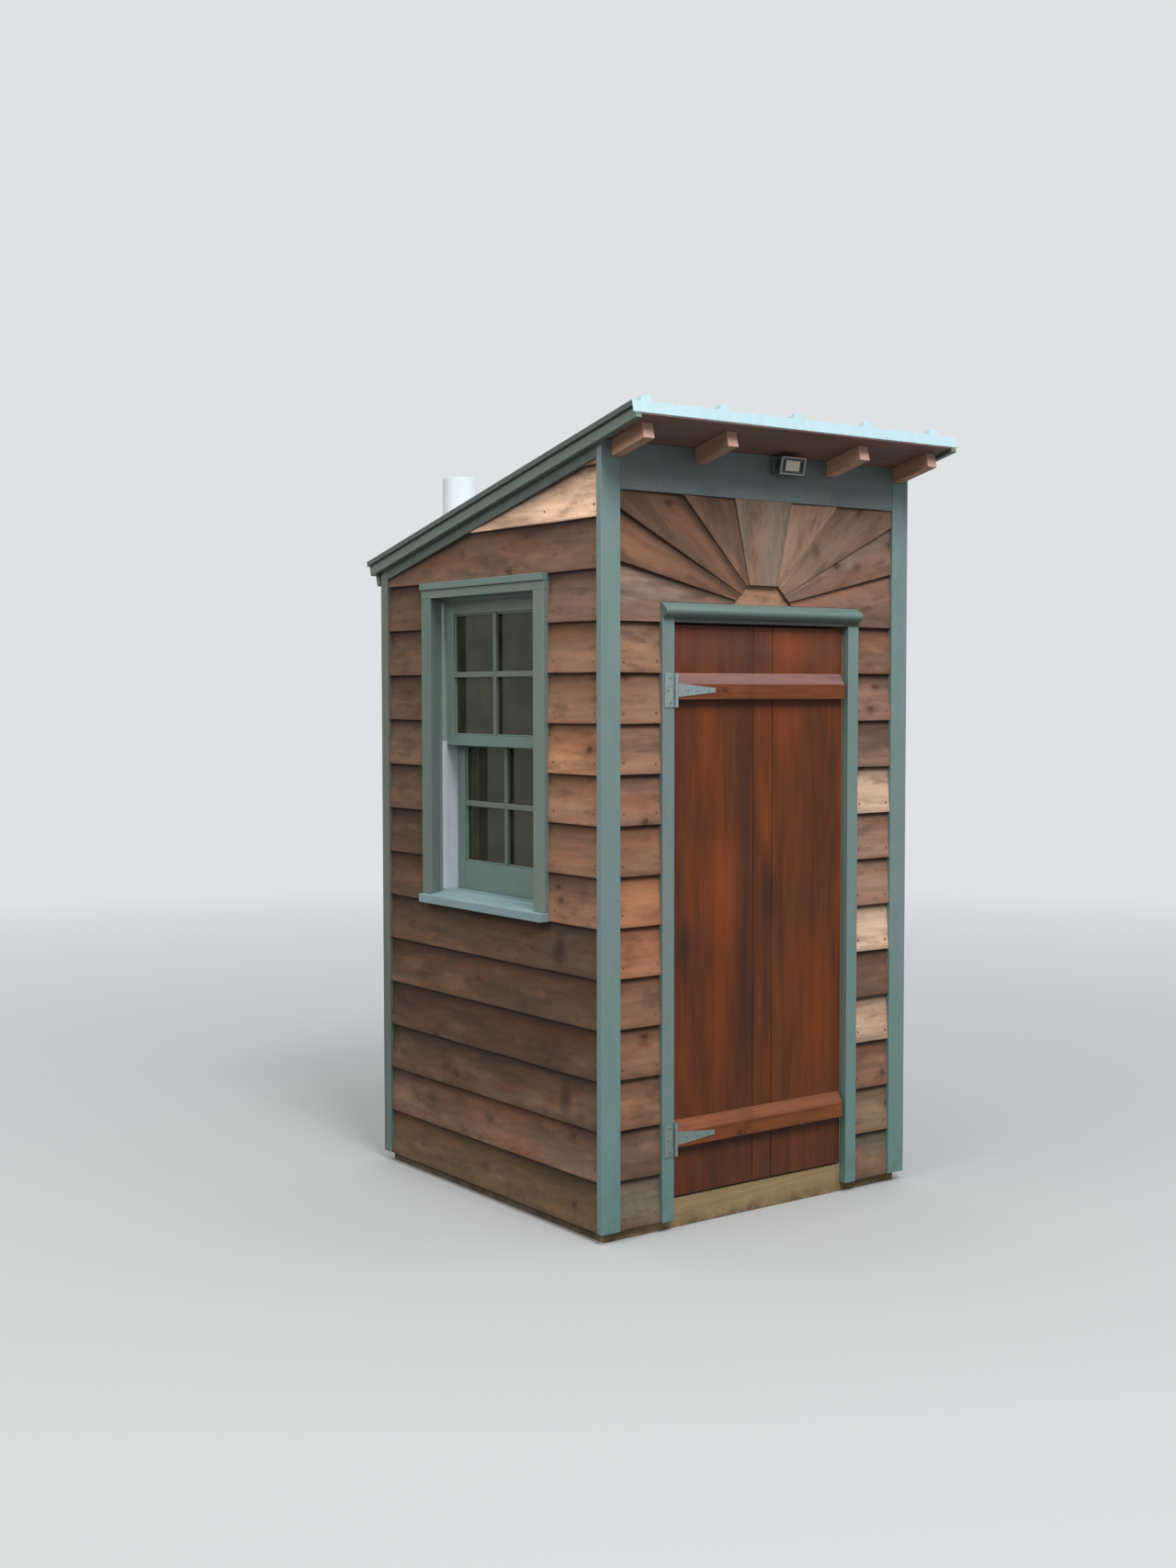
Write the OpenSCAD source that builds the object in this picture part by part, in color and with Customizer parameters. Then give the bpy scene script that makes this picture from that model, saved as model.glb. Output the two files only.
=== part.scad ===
// Small wooden outhouse with a shed roof, lapped siding, a ledged plank door and a sunburst of tapered boards over it.
// The origin is on the ground under the middle of the floor. X runs to the right, Y to the back and Z up.

/* [Body] */
// Width over the corner boards
body_w = 1220; // [1120:10:1500]
// Depth over the corner boards
body_d = 1240; // [1120:10:1500]
// Height of the lower edge of the siding above the ground
skirt_z = 30; // [15:5:60]

/* [Floor] */
// Thickness of each floor joist
joist_w = 38; // [30:1:60]
// Depth of each floor joist
joist_h = 89; // [80:1:120]
// Thickness of the floor boards
floor_t = 15; // [12:1:30]

/* [Wall frames] */
// Thickness of each stud
stud_w = 38; // [30:1:50]
// Depth of each stud, through the wall
stud_d = 89; // [60:1:100]
// Depth of the beam over the door that backs the sunburst
header_d = 38; // [25:1:60]

/* [Siding] */
// Height of siding that shows in each course
course_h = 146.5; // [110:0.5:180]
// Thickness of a siding board at its lower edge
butt_t = 20; // [14:1:23]
// Thickness of a siding board at its upper edge
tip_t = 8; // [4:1:12]

/* [Corner boards] */
// Thickness of the corner boards
trim_t = 24; // [24:1:30]
// Width of the corner boards on the front and the back
corner_w = 68; // [50:1:100]
// Width of the rear corner boards on the sides
corner_side_w = 44; // [35:1:80]

/* [Roof] */
// Slope of the roof, down to the back, in degrees
pitch = 13.6; // [8:0.2:16]
// Reach of the roof in front of the corner boards
front_eave = 177; // [150:1:260]
// Reach of the roof behind the corner boards
rear_eave = 46; // [40:1:120]
// Thickness of the roof boards
deck_t = 36; // [18:1:45]
// Width of a rafter
rafter_w = 38; // [30:1:60]
// Depth of a rafter
rafter_h = 46; // [38:1:80]
// Reach of the rafter tails in front of the corner boards
rafter_tail = 128; // [60:1:145]
// How far the left rafter lies inside the frame's left side
rafter_in = 14; // [0:1:14]
// Distance between the first and the second rafter
rafter_gap_left = 305; // [250:1:330]
// Distance between the third and the fourth rafter
rafter_gap_right = 292; // [250:1:330]

/* [Roof trim] */
// Thickness of the barge boards along the roof's sides
barge_t = 20; // [15:1:30]
// Depth of the barge boards
barge_h = 47; // [40:1:100]
// Depth of the trim on the wall under each barge board
rake_h = 44; // [30:1:60]
// Height of the frieze below the rafters
frieze_h = 90; // [60:1:110]
// Height of the rear frieze below the rafters
rear_frieze_h = 40; // [30:1:90]
// How far the frieze lies behind the face of the corner boards
frieze_set = 1; // [0:0.5:4]
// Depth of the board across the rafters' rear ends
fascia_h = 82; // [60:1:100]

/* [Roof sheet] */
// Thickness of the metal sheet
sheet_t = 1.5; // [1:0.5:3]
// How far the sheet reaches past the barge boards
sheet_side = 8; // [4:1:20]
// Height of the ribs
rib_h = 19; // [10:1:30]
// Width of a rib where it leaves the sheet
rib_w = 48; // [40:1:60]
// Width of the flat top of a rib
rib_top = 22; // [10:1:30]
// Distance between ribs
rib_gap = 281; // [200:1:300]
// Distance of the first rib's middle from the sheet's left edge
rib_first = 52; // [40:1:80]
// Depth of the folded front lip
lip_h = 32; // [20:1:38]
// Depth of the folded side lips
side_lip_h = 15; // [8:1:20]

/* [Doorway] */
// Clear width between the door casings
door_gap_w = 696; // [600:2:720]
// Width of the door casings
casing_w = 44; // [38:1:60]
// Thickness of the door casings
casing_t = 28; // [26:1:36]
// Height of the casing over the door
head_h = 31; // [25:1:60]
// Height of the drip cap
cap_h = 27; // [18:1:40]
// How far the drip cap stands out in front of the casings
cap_out = 24; // [15:1:60]
// How far the drip cap hangs down in front of the head casing
cap_lip = 18; // [13:1:25]
// Radius of the drip cap's nose
cap_nose = 6; // [3:0.5:7]
// Width of the strips that the door closes against
stop_w = 30; // [20:1:40]
// Thickness of those strips
stop_t = 12; // [10:1:15]

/* [Door] */
// Height of the door
door_h = 1687; // [1600:1:1700]
// Thickness of the door's planks
plank_t = 22; // [18:1:26]
// Width of the plank on the hinge side
plank_left_w = 318; // [280:1:330]
// Width of the narrow plank in the middle
plank_mid_w = 76; // [60:1:100]
// Open joint between the planks
plank_joint = 2; // [1:0.5:4]
// Gap round the door
door_play = 6; // [5:0.5:8]
// Depth of the ledges across the door
ledge_h = 79; // [60:1:100]
// Thickness of the ledges
ledge_t = 22; // [18:1:26]
// Height of the sloped top edge of a ledge
ledge_bevel = 34; // [10:1:40]
// How far the ledges stop short of the door's edges
ledge_in = 8; // [0:1:20]
// Height of the lower ledge above the door's bottom
low_ledge_z = 151; // [100:1:300]
// Distance of the upper ledge's top below the door's top
high_ledge_drop = 140; // [100:1:300]

/* [Hinges] */
// Thickness of the hinge plates
hinge_t = 2.5; // [2:0.5:4]
// Height of the hinge leaf on the casing
leaf_h = 100; // [80:1:120]
// Width of the hinge leaf on the casing
leaf_w = 38; // [25:1:40]
// Length of the strap on the door
strap_l = 150; // [100:1:200]
// Width of the strap beside the pin
strap_w = 42; // [30:1:44]
// Width of the strap at its tip
strap_tip_w = 13; // [8:1:20]
// Radius of the knuckles round the pin
knuckle_r = 5.5; // [5:0.5:7]
// Radius of the hinge pin
pin_r = 3; // [2.5:0.5:3.5]
// Clearance between the pin and the strap's knuckle
pin_play = 0.1; // [0.05:0.05:0.1]

/* [Sunburst] */
// Height of the sunburst between the drip cap and the frieze
fan_h = 313; // [280:1:450]
// Height of the point that the rays spread from, above the drip cap
fan_drop = -13; // [-40:1:0]
// Angle of the lowest joint above the horizontal
joint_low = 13; // [10:0.5:18]
// Angle of the middle joint
joint_mid = 26.8; // [24:0.2:32]
// Angle of the highest joint
joint_high = 46.6; // [42:0.2:52]
// Width of the middle ray at its foot
key_foot_w = 112; // [90:1:120]
// Width of the middle ray under the frieze
key_top_w = 227; // [160:1:240]
// Thickness of the middle ray
key_t = 23; // [21:0.5:24]
// Width of the hub's top edge
hub_top_w = 122; // [121:1:140]
// Height of the hub above the drip cap
hub_h = 58; // [45:1:80]
// Thickness of the hub
hub_t = 9; // [6:1:16]

/* [Window] */
// Clear width between the window casings
win_w = 580; // [480:2:600]
// Height of the lower sash's bottom above the ground
win_z = 950; // [900:2:1000]
// Height of the window's clear opening above the door's head casing's foot
win_over = 99; // [0:1:110]
// Width of the window casings
win_casing_w = 57; // [40:1:70]
// Height of the head casing
win_head_h = 49; // [40:1:60]
// Height of the cap strip along the top of the head casing
win_cap_h = 22; // [15:1:25]
// How far the window casings stand out from the corner boards' face
win_casing_out = 8; // [4:1:15]
// How far the cap strip and the sill's nose stand out from the casings
win_nose = 16; // [5:1:16]
// Height of the sill's nose
sill_h = 28; // [20:1:40]
// How far the window's frame boards reach past the lower sash, into the room
frame_in = 10; // [5:1:20]
// Fall of the sill from the sash to its nose
sill_fall = 17; // [10:1:25]
// Height of the sill's step under the outer stop, which is a part of its fall
sill_step = 6; // [2:1:8]
// Thickness of the window's frame boards
jamb_t = 20; // [15:1:30]
// Distance from the casings' face to the outer stop
stop_depth = 42; // [34:1:46]
// Thickness of the outer stop, and how far it stands out from the frame
win_stop = 12; // [8:1:14]
// Thickness of the white liners that the sashes slide in
liner_t = 8; // [5:1:10]

/* [Sashes] */
// Thickness of a sash
sash_t = 35; // [30:1:36]
// Distance between the upper and the lower sash
sash_apart = 6; // [4:1:8]
// Clearance round a sash
sash_play = 0.3; // [0.2:0.1:1]
// Width of a sash's stiles
stile_w = 43; // [35:1:50]
// Height of the upper sash's top rail
top_rail_h = 53; // [40:1:60]
// Height of the two rails that meet in the middle
meet_rail_h = 34; // [28:1:40]
// Height of the lower sash's bottom rail
bottom_rail_h = 91; // [60:1:100]
// How far the meeting rails' underside lies below the window's middle
meet_drop = 2.5; // [-20:0.5:40]
// Width of the glazing bars
bar_w = 18; // [14:1:24]
// Depth of the glazing bars
bar_d = 13; // [10:1:16]
// Thickness of the glass
glass_t = 4; // [3:0.5:6]
// Width of the rebate that holds the glass
rebate = 8; // [6:1:12]

/* [Vent pipe] */
// Outer diameter of the vent pipe
pipe_d = 114; // [80:1:114]
// Wall of the vent pipe
pipe_wall = 6; // [3:0.5:8]
// Distance of the pipe's axis from the left wall frame
pipe_in = 73; // [63:1:120]
// Distance of the pipe's axis from the rear wall frame
pipe_off_rear = 89; // [63:1:120]
// Height of the pipe above the roof boards
pipe_up = 211; // [120:1:400]
// Clearance between the pipe and the hole in the roof
pipe_play = 3; // [2:0.5:6]
// Width of the rubber collar round the pipe
collar_w = 22; // [15:1:40]

/* [Lamp] */
// Width of the lamp on the frieze
lamp_w = 112; // [80:1:140]
// Height of the lamp
lamp_h = 52; // [40:1:60]
// How far the lamp stands out
lamp_out = 46; // [30:1:60]
// Thickness of the lamp's plate
lamp_plate = 9; // [5:1:12]
// Angle that the lamp's head is turned down
lamp_tilt = 12; // [0:1:30]
// Distance of the lamp from the middle, to the right
lamp_x = 82; // [60:1:100]
// Distance of the lamp's top below the roof boards
lamp_drop = 5; // [3:1:20]

/* [Hidden] */
$fn = 48;

// Colours
cedar = [0.53, 0.36, 0.27];
trim_green = [0.42, 0.54, 0.53];
door_brown = [0.36, 0.18, 0.11];
lumber = [0.72, 0.62, 0.45];
rafter_brown = [0.60, 0.36, 0.20];
steel_grey = [0.62, 0.66, 0.66];

// A small cut past a face, so that no skin is left on it
eps = 1;
// Clearance between pieces that are set into each other
fit = 0.3;
// Clearance where a piece meets one that slopes
seat = 0.2;

// Main planes: half width and depth over the corner boards, and over the wall frames
half_w = body_w / 2;
half_d = body_d / 2;
frame_x = half_w - trim_t;
frame_y = half_d - trim_t;
room_x = frame_x - stud_d;
room_y = frame_y - stud_d;
floor_z = joist_h + floor_t;

// Doorway and door
gap_x = door_gap_w / 2;
casing_x = gap_x + casing_w;
casing_y = -frame_y - casing_t;
door_z = joist_h + door_play;
door_top = door_z + door_h;
head_z = door_top + door_play;
cap_z = head_z + head_h;
cap_top = cap_z + cap_h;
door_w = door_gap_w - 2 * door_play;
door_x = gap_x - door_play;
ledge_y = casing_y;
plank_y = ledge_y + ledge_t;
door_back = plank_y + plank_t;
planks = [
    [-door_x, plank_left_w - plank_joint],
    [-door_x + plank_left_w, plank_mid_w - plank_joint],
    [-door_x + plank_left_w + plank_mid_w, door_w - plank_left_w - plank_mid_w],
];
ledge_zs = [door_z + low_ledge_z, door_top - high_ledge_drop - ledge_h];
hinge_zs = [for (z = ledge_zs) z + (ledge_h - ledge_bevel) / 2 + knuckle_r];
pin_x = -gap_x + door_play / 2;
pin_y = casing_y - knuckle_r;

// The roof rests on the rafters, which lie on the frieze over the sunburst.
// The height of the roof boards' top above a point at depth y, and of a line t below it, square to the slope
plate_drop = deck_t + rafter_h;
frieze_z = cap_top + fan_h;
roof_y = -half_d - front_eave;
roof_l = (body_d + front_eave + rear_eave) / cos(pitch);
eave_z = frieze_z + frieze_h + plate_drop / cos(pitch) + front_eave * tan(pitch);
function roof_top(y) = eave_z - (y - roof_y) * tan(pitch);
function below(y, t) = roof_top(y) - t / cos(pitch);
rear_frieze_z = below(half_d, plate_drop) - rear_frieze_h;
sheet_half = half_w + barge_t + sheet_side;

// The right rafter is flush with the wall frame
rafter_left = -frame_x + rafter_in + rafter_w / 2;
rafter_right = frame_x - rafter_w / 2;
rafter_xs = [rafter_left, rafter_left + rafter_gap_left, rafter_right - rafter_gap_right, rafter_right];

// Sunburst: it starts above the last whole course of siding under the door's head casing
fan_z = cap_top + fan_drop;
fan_x = half_w - corner_w;
fan_low = skirt_z + floor((head_z - skirt_z) / course_h + 0.01) * course_h;
fan_far = body_w;
hub_z = cap_top + hub_h;

// Window in the left wall
win_x = -half_w - win_casing_out;
win_half = win_w / 2;
win_out = win_half + win_casing_w;
win_top = head_z + win_over;
rough = win_half + jamb_t;
stop_x = win_x + stop_depth;
upper_x = stop_x + win_stop + sash_play;
lower_x = upper_x + sash_t + sash_apart;
frame_in_x = lower_x + sash_t + frame_in;
nose_top = win_z - sill_fall;
sill_z = nose_top - sill_h;
sash_half = win_half - liner_t - sash_play;
light_half = sash_half - stile_w;
glass_in = bar_d;
upper_z = (win_z + win_top) / 2 - meet_drop;
lower_top = upper_z + meet_rail_h;

// Vent pipe
pipe_x = room_x - pipe_in;
pipe_y = room_y - pipe_off_rear;

// Draws the outline of its children in the YZ plane and runs it along X from x0 to x1
module along_x(x0, x1) {
    translate([x0, 0, 0])
        rotate([90, 0, 90])
            linear_extrude(x1 - x0)
                children();
}

// Draws the outline of its children in the XZ plane and runs it along Y from y0 to y1
module along_y(y0, y1) {
    translate([0, y1, 0])
        rotate([90, 0, 0])
            linear_extrude(y1 - y0)
                children();
}

// A block between two corners
module block(lo, hi) {
    translate(lo)
        cube(hi - lo);
}

// A copy on the left and one on the right
module both_sides() {
    children();
    mirror([1, 0, 0])
        children();
}

// The roof's own axes: Y down the slope from the front edge, Z square to the roof boards, 0 at their top
module on_roof() {
    translate([0, roof_y, eave_z])
        rotate([-pitch, 0, 0])
            children();
}

// Outline of lapped siding seen from its end: the back is at 0, and each course thickens towards its lower edge
module lap_outline(z0, z1) {
    n = ceil((z1 - z0) / course_h);
    intersection() {
        polygon(concat(
            [[0, z0]],
            [for (i = [0:n - 1], p = [0, 1])
                [p == 0 ? butt_t : tip_t, z0 + (i + p) * course_h]],
            [[0, z0 + n * course_h]]));
        translate([-eps, z0])
            square([butt_t + 2 * eps, z1 - z0]);
    }
}

// A side wall's outline in the YZ plane, from z0 up to a line t below the roof boards
module side_outline(y0, y1, z0, t) {
    polygon([[y0, z0], [y1, z0], [y1, below(y1, t)], [y0, below(y0, t)]]);
}

// Floor: joists round the edge and one down the middle
module rim_frame() {
    color(lumber) {
        for (x = [-frame_x, -joist_w / 2, frame_x - joist_w])
            block([x, -frame_y + joist_w, 0], [x + joist_w, frame_y - joist_w, joist_h]);
        block([-frame_x, frame_y - joist_w, 0], [frame_x, frame_y, joist_h]);
    }
}

module front_sill() {
    color(lumber)
        block([-frame_x, -frame_y, 0], [frame_x, -frame_y + joist_w, joist_h]);
}

module floor_deck() {
    color(lumber)
        difference() {
            block([-frame_x, -frame_y, joist_h], [frame_x, frame_y, floor_z]);
            // The door hangs in front of the floor's edge
            block([-gap_x, -frame_y - eps, joist_h - eps],
                [gap_x, door_back + door_play, floor_z + eps]);
        }
}

// Outline of a wall frame in its own plane: plates, end studs, and studs centred on each place in the list
module frame_outline(half, z0, studs) {
    translate([-half, z0])
        square([2 * half, stud_w]);
    for (x = concat([-half + stud_w / 2, half - stud_w / 2], studs))
        translate([x - stud_w / 2, z0])
            square([stud_w, eave_z]);
}

// Clips its children to the space under the rafters
module under_rafters(y0, y1) {
    intersection() {
        children();
        along_x(-half_w, half_w)
            side_outline(y0, y1, 0, plate_drop + seat);
    }
}

// A plate along X whose top follows the rafters
module cross_plate(y0, y1) {
    along_x(-frame_x, frame_x)
        polygon([[y0, below(y0, plate_drop) - stud_w], [y1, below(y0, plate_drop) - stud_w],
            [y1, below(y1, plate_drop + seat)], [y0, below(y0, plate_drop + seat)]]);
}

module front_frame() {
    color(lumber)
        difference() {
            union() {
                under_rafters(-frame_y, -room_y)
                    along_y(-frame_y, -room_y)
                        frame_outline(frame_x, floor_z, [-gap_x - stud_w / 2, gap_x + stud_w / 2]);
                cross_plate(-frame_y, -room_y);
                // Beam that the sunburst is nailed to
                block([-frame_x, -frame_y, head_z], [frame_x, -frame_y + header_d, frieze_z + stud_w]);
            }
            block([-gap_x, -half_d, floor_z - eps], [gap_x, 0, head_z]);
        }
}

module rear_frame() {
    color(lumber) {
        under_rafters(room_y, frame_y)
            along_y(room_y, frame_y)
                frame_outline(frame_x, floor_z, [0]);
        cross_plate(room_y, frame_y);
    }
}

// Sloped plate of a side wall and its studs
module side_frame(studs) {
    intersection() {
        union() {
            frame_outline(room_y, floor_z, studs);
            polygon([[-room_y, below(-room_y, plate_drop + stud_w)], [room_y, below(room_y, plate_drop + stud_w)],
                [room_y, below(room_y, plate_drop)], [-room_y, below(-room_y, plate_drop)]]);
        }
        side_outline(-room_y, room_y, floor_z, plate_drop + seat);
    }
}

module left_frame() {
    color(lumber)
        along_x(-frame_x, -room_x)
            difference() {
                union() {
                    side_frame([-rough - stud_w / 2, rough + stud_w / 2]);
                    // Trimmers over and under the window
                    translate([-rough, win_top + jamb_t])
                        square([2 * rough, stud_w]);
                    translate([-rough, sill_z - stud_w])
                        square([2 * rough, stud_w]);
                }
                translate([-rough, sill_z])
                    square([2 * rough, win_top + jamb_t - sill_z]);
            }
}

module right_frame() {
    color(lumber)
        along_x(room_x, frame_x)
            side_frame([0]);
}

// Siding of a side wall, drawn for the right side: its back on the frame
module side_siding() {
    intersection() {
        translate([frame_x, -frame_y, 0])
            rotate([90, 0, 180])
                mirror([1, 0, 0])
                    linear_extrude(frame_y + half_d - corner_side_w)
                        lap_outline(skirt_z, eave_z);
        along_x(frame_x - eps, half_w + eps)
            side_outline(-frame_y, half_d - corner_side_w, skirt_z, deck_t + rake_h + seat);
    }
}

module right_siding() {
    color(cedar)
        side_siding();
}

module left_siding() {
    color(cedar)
        difference() {
            mirror([1, 0, 0])
                side_siding();
            block([-half_w, -win_out, sill_z], [-frame_x + eps, win_out, win_top + win_head_h]);
        }
}

// Siding of the front, its back on the frame, between two places along X
module front_siding(x0, x1) {
    translate([x0, -frame_y, 0])
        rotate([90, 0, 90])
            mirror([1, 0, 0])
                linear_extrude(x1 - x0)
                    lap_outline(skirt_z, fan_low);
}

module front_siding_left() {
    color(cedar)
        front_siding(-fan_x, -casing_x);
}

module front_siding_right() {
    color(cedar)
        front_siding(casing_x, fan_x);
}

module rear_siding() {
    color(cedar)
        along_x(-fan_x, fan_x)
            intersection() {
                translate([frame_y, 0])
                    lap_outline(skirt_z, eave_z);
                square([half_d + eps, rear_frieze_z]);
            }
}

// Notches its children over the rafters
module notched() {
    difference() {
        children();
        on_roof()
            for (x = rafter_xs)
                block([x - rafter_w / 2 - fit, 0, -plate_drop - fit], [x + rafter_w / 2 + fit, roof_l, -deck_t + eps]);
    }
}

module front_corner_boards() {
    color(trim_green)
        notched()
            both_sides()
                along_x(fan_x, half_w)
                    side_outline(-half_d, -frame_y, skirt_z, deck_t + seat);
}

module rear_corner_boards() {
    color(trim_green)
        notched()
            both_sides() {
                along_x(frame_x, half_w)
                    side_outline(half_d - corner_side_w, half_d, skirt_z, deck_t + seat);
                along_x(fan_x, frame_x + eps)
                    side_outline(frame_y, half_d, skirt_z, deck_t + seat);
            }
}

// The friezes fill up to the roof boards between the rafters
module frieze_boards() {
    color(trim_green)
        notched() {
            along_x(-fan_x, fan_x)
                side_outline(-half_d + frieze_set, -frame_y, frieze_z, deck_t + seat);
            along_x(-fan_x, fan_x)
                side_outline(frame_y, half_d, rear_frieze_z, deck_t + seat);
        }
}

module rake_trims() {
    color(trim_green)
        both_sides()
            along_x(frame_x, half_w)
                polygon([
                    [-frame_y, below(-frame_y, deck_t + rake_h)],
                    [half_d - corner_side_w, below(half_d - corner_side_w, deck_t + rake_h)],
                    [half_d - corner_side_w, below(half_d - corner_side_w, deck_t + seat)],
                    [-frame_y, below(-frame_y, deck_t + seat)],
                ]);
}

module barge_boards() {
    color(trim_green)
        both_sides()
            on_roof()
                block([half_w, 0, -barge_h], [half_w + barge_t, roof_l, 0]);
}

module rear_fascia() {
    color(trim_green)
        on_roof()
            block([-half_w, roof_l - barge_t, -fascia_h], [half_w, roof_l, -deck_t]);
}

module rafters() {
    tail = (front_eave - rafter_tail) / cos(pitch);
    color(rafter_brown)
        on_roof()
            for (x = rafter_xs)
                block([x - rafter_w / 2, tail, -plate_drop], [x + rafter_w / 2, roof_l - barge_t - seat, -deck_t]);
}

// The vent pipe's axis
module at_pipe() {
    translate([-pipe_x, pipe_y, 0])
        children();
}

module roof_deck() {
    color(rafter_brown)
        difference() {
            on_roof()
                block([-half_w, 0, -deck_t], [half_w, roof_l, 0]);
            at_pipe()
                cylinder(h = eave_z + rib_h, r = pipe_d / 2 + pipe_play);
        }
}

// The ribs' middles, and the corners of a rib over a point on the sheet
rib_xs = [for (x = [-sheet_half + rib_first:rib_gap:sheet_half - rib_w]) x];
function rib(x, z) =
    [[x - rib_w / 2, z], [x - rib_top / 2, z + rib_h], [x + rib_top / 2, z + rib_h], [x + rib_w / 2, z]];

// Outline of the sheet across the roof: flat between trapezoid ribs, with a lip folded down each side
module sheet_outline() {
    w = sheet_half;
    top = [for (x = rib_xs, p = rib(x, 0)) p];
    last = len(top) - 1;
    polygon(concat(
        [[-w, -side_lip_h], [-w, sheet_t]],
        [for (p = top) [p[0], p[1] + sheet_t]],
        [[w, sheet_t], [w, -side_lip_h], [w - sheet_t, -side_lip_h], [w - sheet_t, 0]],
        [for (i = [0:last]) top[last - i]],
        [[-w + sheet_t, 0], [-w + sheet_t, -side_lip_h]]));
}

module roof_sheet() {
    color("lightsteelblue")
        difference() {
            on_roof() {
                translate([0, roof_l, 0])
                    rotate([90, 0, 0])
                        linear_extrude(roof_l)
                            sheet_outline();
                // The front lip, which closes the ribs
                block([-sheet_half, -sheet_t, -lip_h], [sheet_half, 0, sheet_t]);
                for (x = rib_xs)
                    along_y(-sheet_t, 0)
                        polygon(rib(x, sheet_t));
            }
            at_pipe()
                cylinder(h = eave_z + rib_h, r = pipe_d / 2 + pipe_play);
        }
}

module vent_pipe() {
    color("whitesmoke")
        at_pipe()
            translate([0, 0, floor_z])
                difference() {
                    cylinder(h = roof_top(pipe_y) + pipe_up - floor_z, r = pipe_d / 2);
                    translate([0, 0, -eps])
                        cylinder(h = eave_z, r = pipe_d / 2 - pipe_wall);
                }
}

// A rubber collar that follows the slope and closes on the pipe
module pipe_collar() {
    r = pipe_d / 2 + collar_w;
    lift = r * tan(pitch);
    color([0.20, 0.21, 0.22])
        at_pipe()
            difference() {
                translate([0, 0, roof_top(pipe_y) - lift])
                    cylinder(h = 3 * lift + sheet_t, r = r);
                translate([0, 0, roof_top(pipe_y) - 2 * lift])
                    cylinder(h = 6 * lift, r = pipe_d / 2 + fit);
                translate([0, 0, roof_top(pipe_y)])
                    rotate([-pitch, 0, 0])
                        translate([-2 * r, -2 * r, sheet_t + seat - 4 * r])
                            cube(4 * r);
            }
}

// Doorway
// The left casing runs up beside the head casing and the drip cap, and the right one stops under them
module door_casings() {
    color(trim_green) {
        block([-casing_x, casing_y, skirt_z], [-gap_x, -frame_y, cap_top - cap_nose]);
        block([gap_x, casing_y, skirt_z], [casing_x, -frame_y, head_z]);
    }
}

module head_casing() {
    color(trim_green)
        block([-gap_x, casing_y, head_z], [casing_x, -frame_y, cap_z]);
}

// A moulding that lies on the head casing and hooks over its face: a slope, a round nose and an undercut
module drip_cap() {
    color(trim_green)
        along_x(-gap_x, casing_x)
            difference() {
                hull() {
                    translate([-frame_y - butt_t, cap_z])
                        square([butt_t, cap_h]);
                    translate([casing_y - cap_out + cap_nose, cap_z - cap_nose])
                        circle(cap_nose, $fn = 24);
                    translate([casing_y - cap_nose / 2, cap_z - cap_lip])
                        square([cap_nose / 2, cap_lip]);
                }
                translate([casing_y, head_z])
                    square([casing_t + eps, head_h]);
            }
}

module door_stops() {
    color(lumber)
        both_sides()
            block([gap_x - stop_t, door_back + door_play, floor_z], [gap_x, door_back + door_play + stop_w, head_z]);
}

// The door
module door_planks() {
    color(door_brown)
        for (p = planks)
            block([p[0], plank_y, door_z], [p[0] + p[1], door_back, door_top]);
}

module door_ledges() {
    color(door_brown)
        for (z = ledge_zs)
            along_x(-door_x + ledge_in, door_x - ledge_in)
                polygon([[ledge_y, z], [plank_y, z], [plank_y, z + ledge_h], [ledge_y, z + ledge_h - ledge_bevel]]);
}

// Hinges: the leaf's knuckles take the upper and lower quarter, and the strap's knuckle the middle
knuckle_h = leaf_h / 4;

module hinge_leaves() {
    color(steel_grey)
        for (z = hinge_zs) {
            block([-gap_x - leaf_w, casing_y - hinge_t, z - leaf_h / 2], [pin_x, casing_y, z - leaf_h / 4]);
            block([-gap_x - leaf_w, casing_y - hinge_t, z + leaf_h / 4], [pin_x, casing_y, z + leaf_h / 2]);
            block([-gap_x - leaf_w, casing_y - hinge_t, z - leaf_h / 2],
                [pin_x - knuckle_r - fit, casing_y, z + leaf_h / 2]);
            for (k = [-leaf_h / 2, leaf_h / 4])
                translate([pin_x, pin_y, z + k])
                    cylinder(h = knuckle_h, r = knuckle_r);
            translate([pin_x, pin_y, z - leaf_h / 2])
                cylinder(h = leaf_h, r = pin_r);
        }
}

module hinge_straps() {
    color(steel_grey)
        for (z = hinge_zs)
            difference() {
                union() {
                    along_y(casing_y - hinge_t, casing_y)
                        polygon([[pin_x, z - strap_w / 2], [pin_x + strap_l, z - strap_tip_w / 2],
                            [pin_x + strap_l, z + strap_tip_w / 2], [pin_x, z + strap_w / 2]]);
                    translate([pin_x, pin_y, z - leaf_h / 4 + fit])
                        cylinder(h = 2 * knuckle_h - 2 * fit, r = knuckle_r);
                }
                translate([pin_x, pin_y, z - leaf_h])
                    cylinder(h = 2 * leaf_h, r = pin_r + pin_play);
            }
}

// Sunburst
// The panel that the rays fill: between the corner boards, over the siding and the drip cap, under the frieze
module fan_panel() {
    difference() {
        translate([-fan_x, fan_low])
            square([2 * fan_x, frieze_z - seat - fan_low]);
        translate([-casing_x, fan_low - eps])
            square([2 * casing_x, cap_top - fan_low + eps]);
    }
}

// The hub: a flat top and sides that fall at 45 degrees; past makes it run on below
module hub_outline(past = 0) {
    spread = hub_top_w / 2 + hub_h + past;
    polygon([[-spread, cap_top - past], [spread, cap_top - past], [hub_top_w / 2, hub_z], [-hub_top_w / 2, hub_z]]);
}

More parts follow.
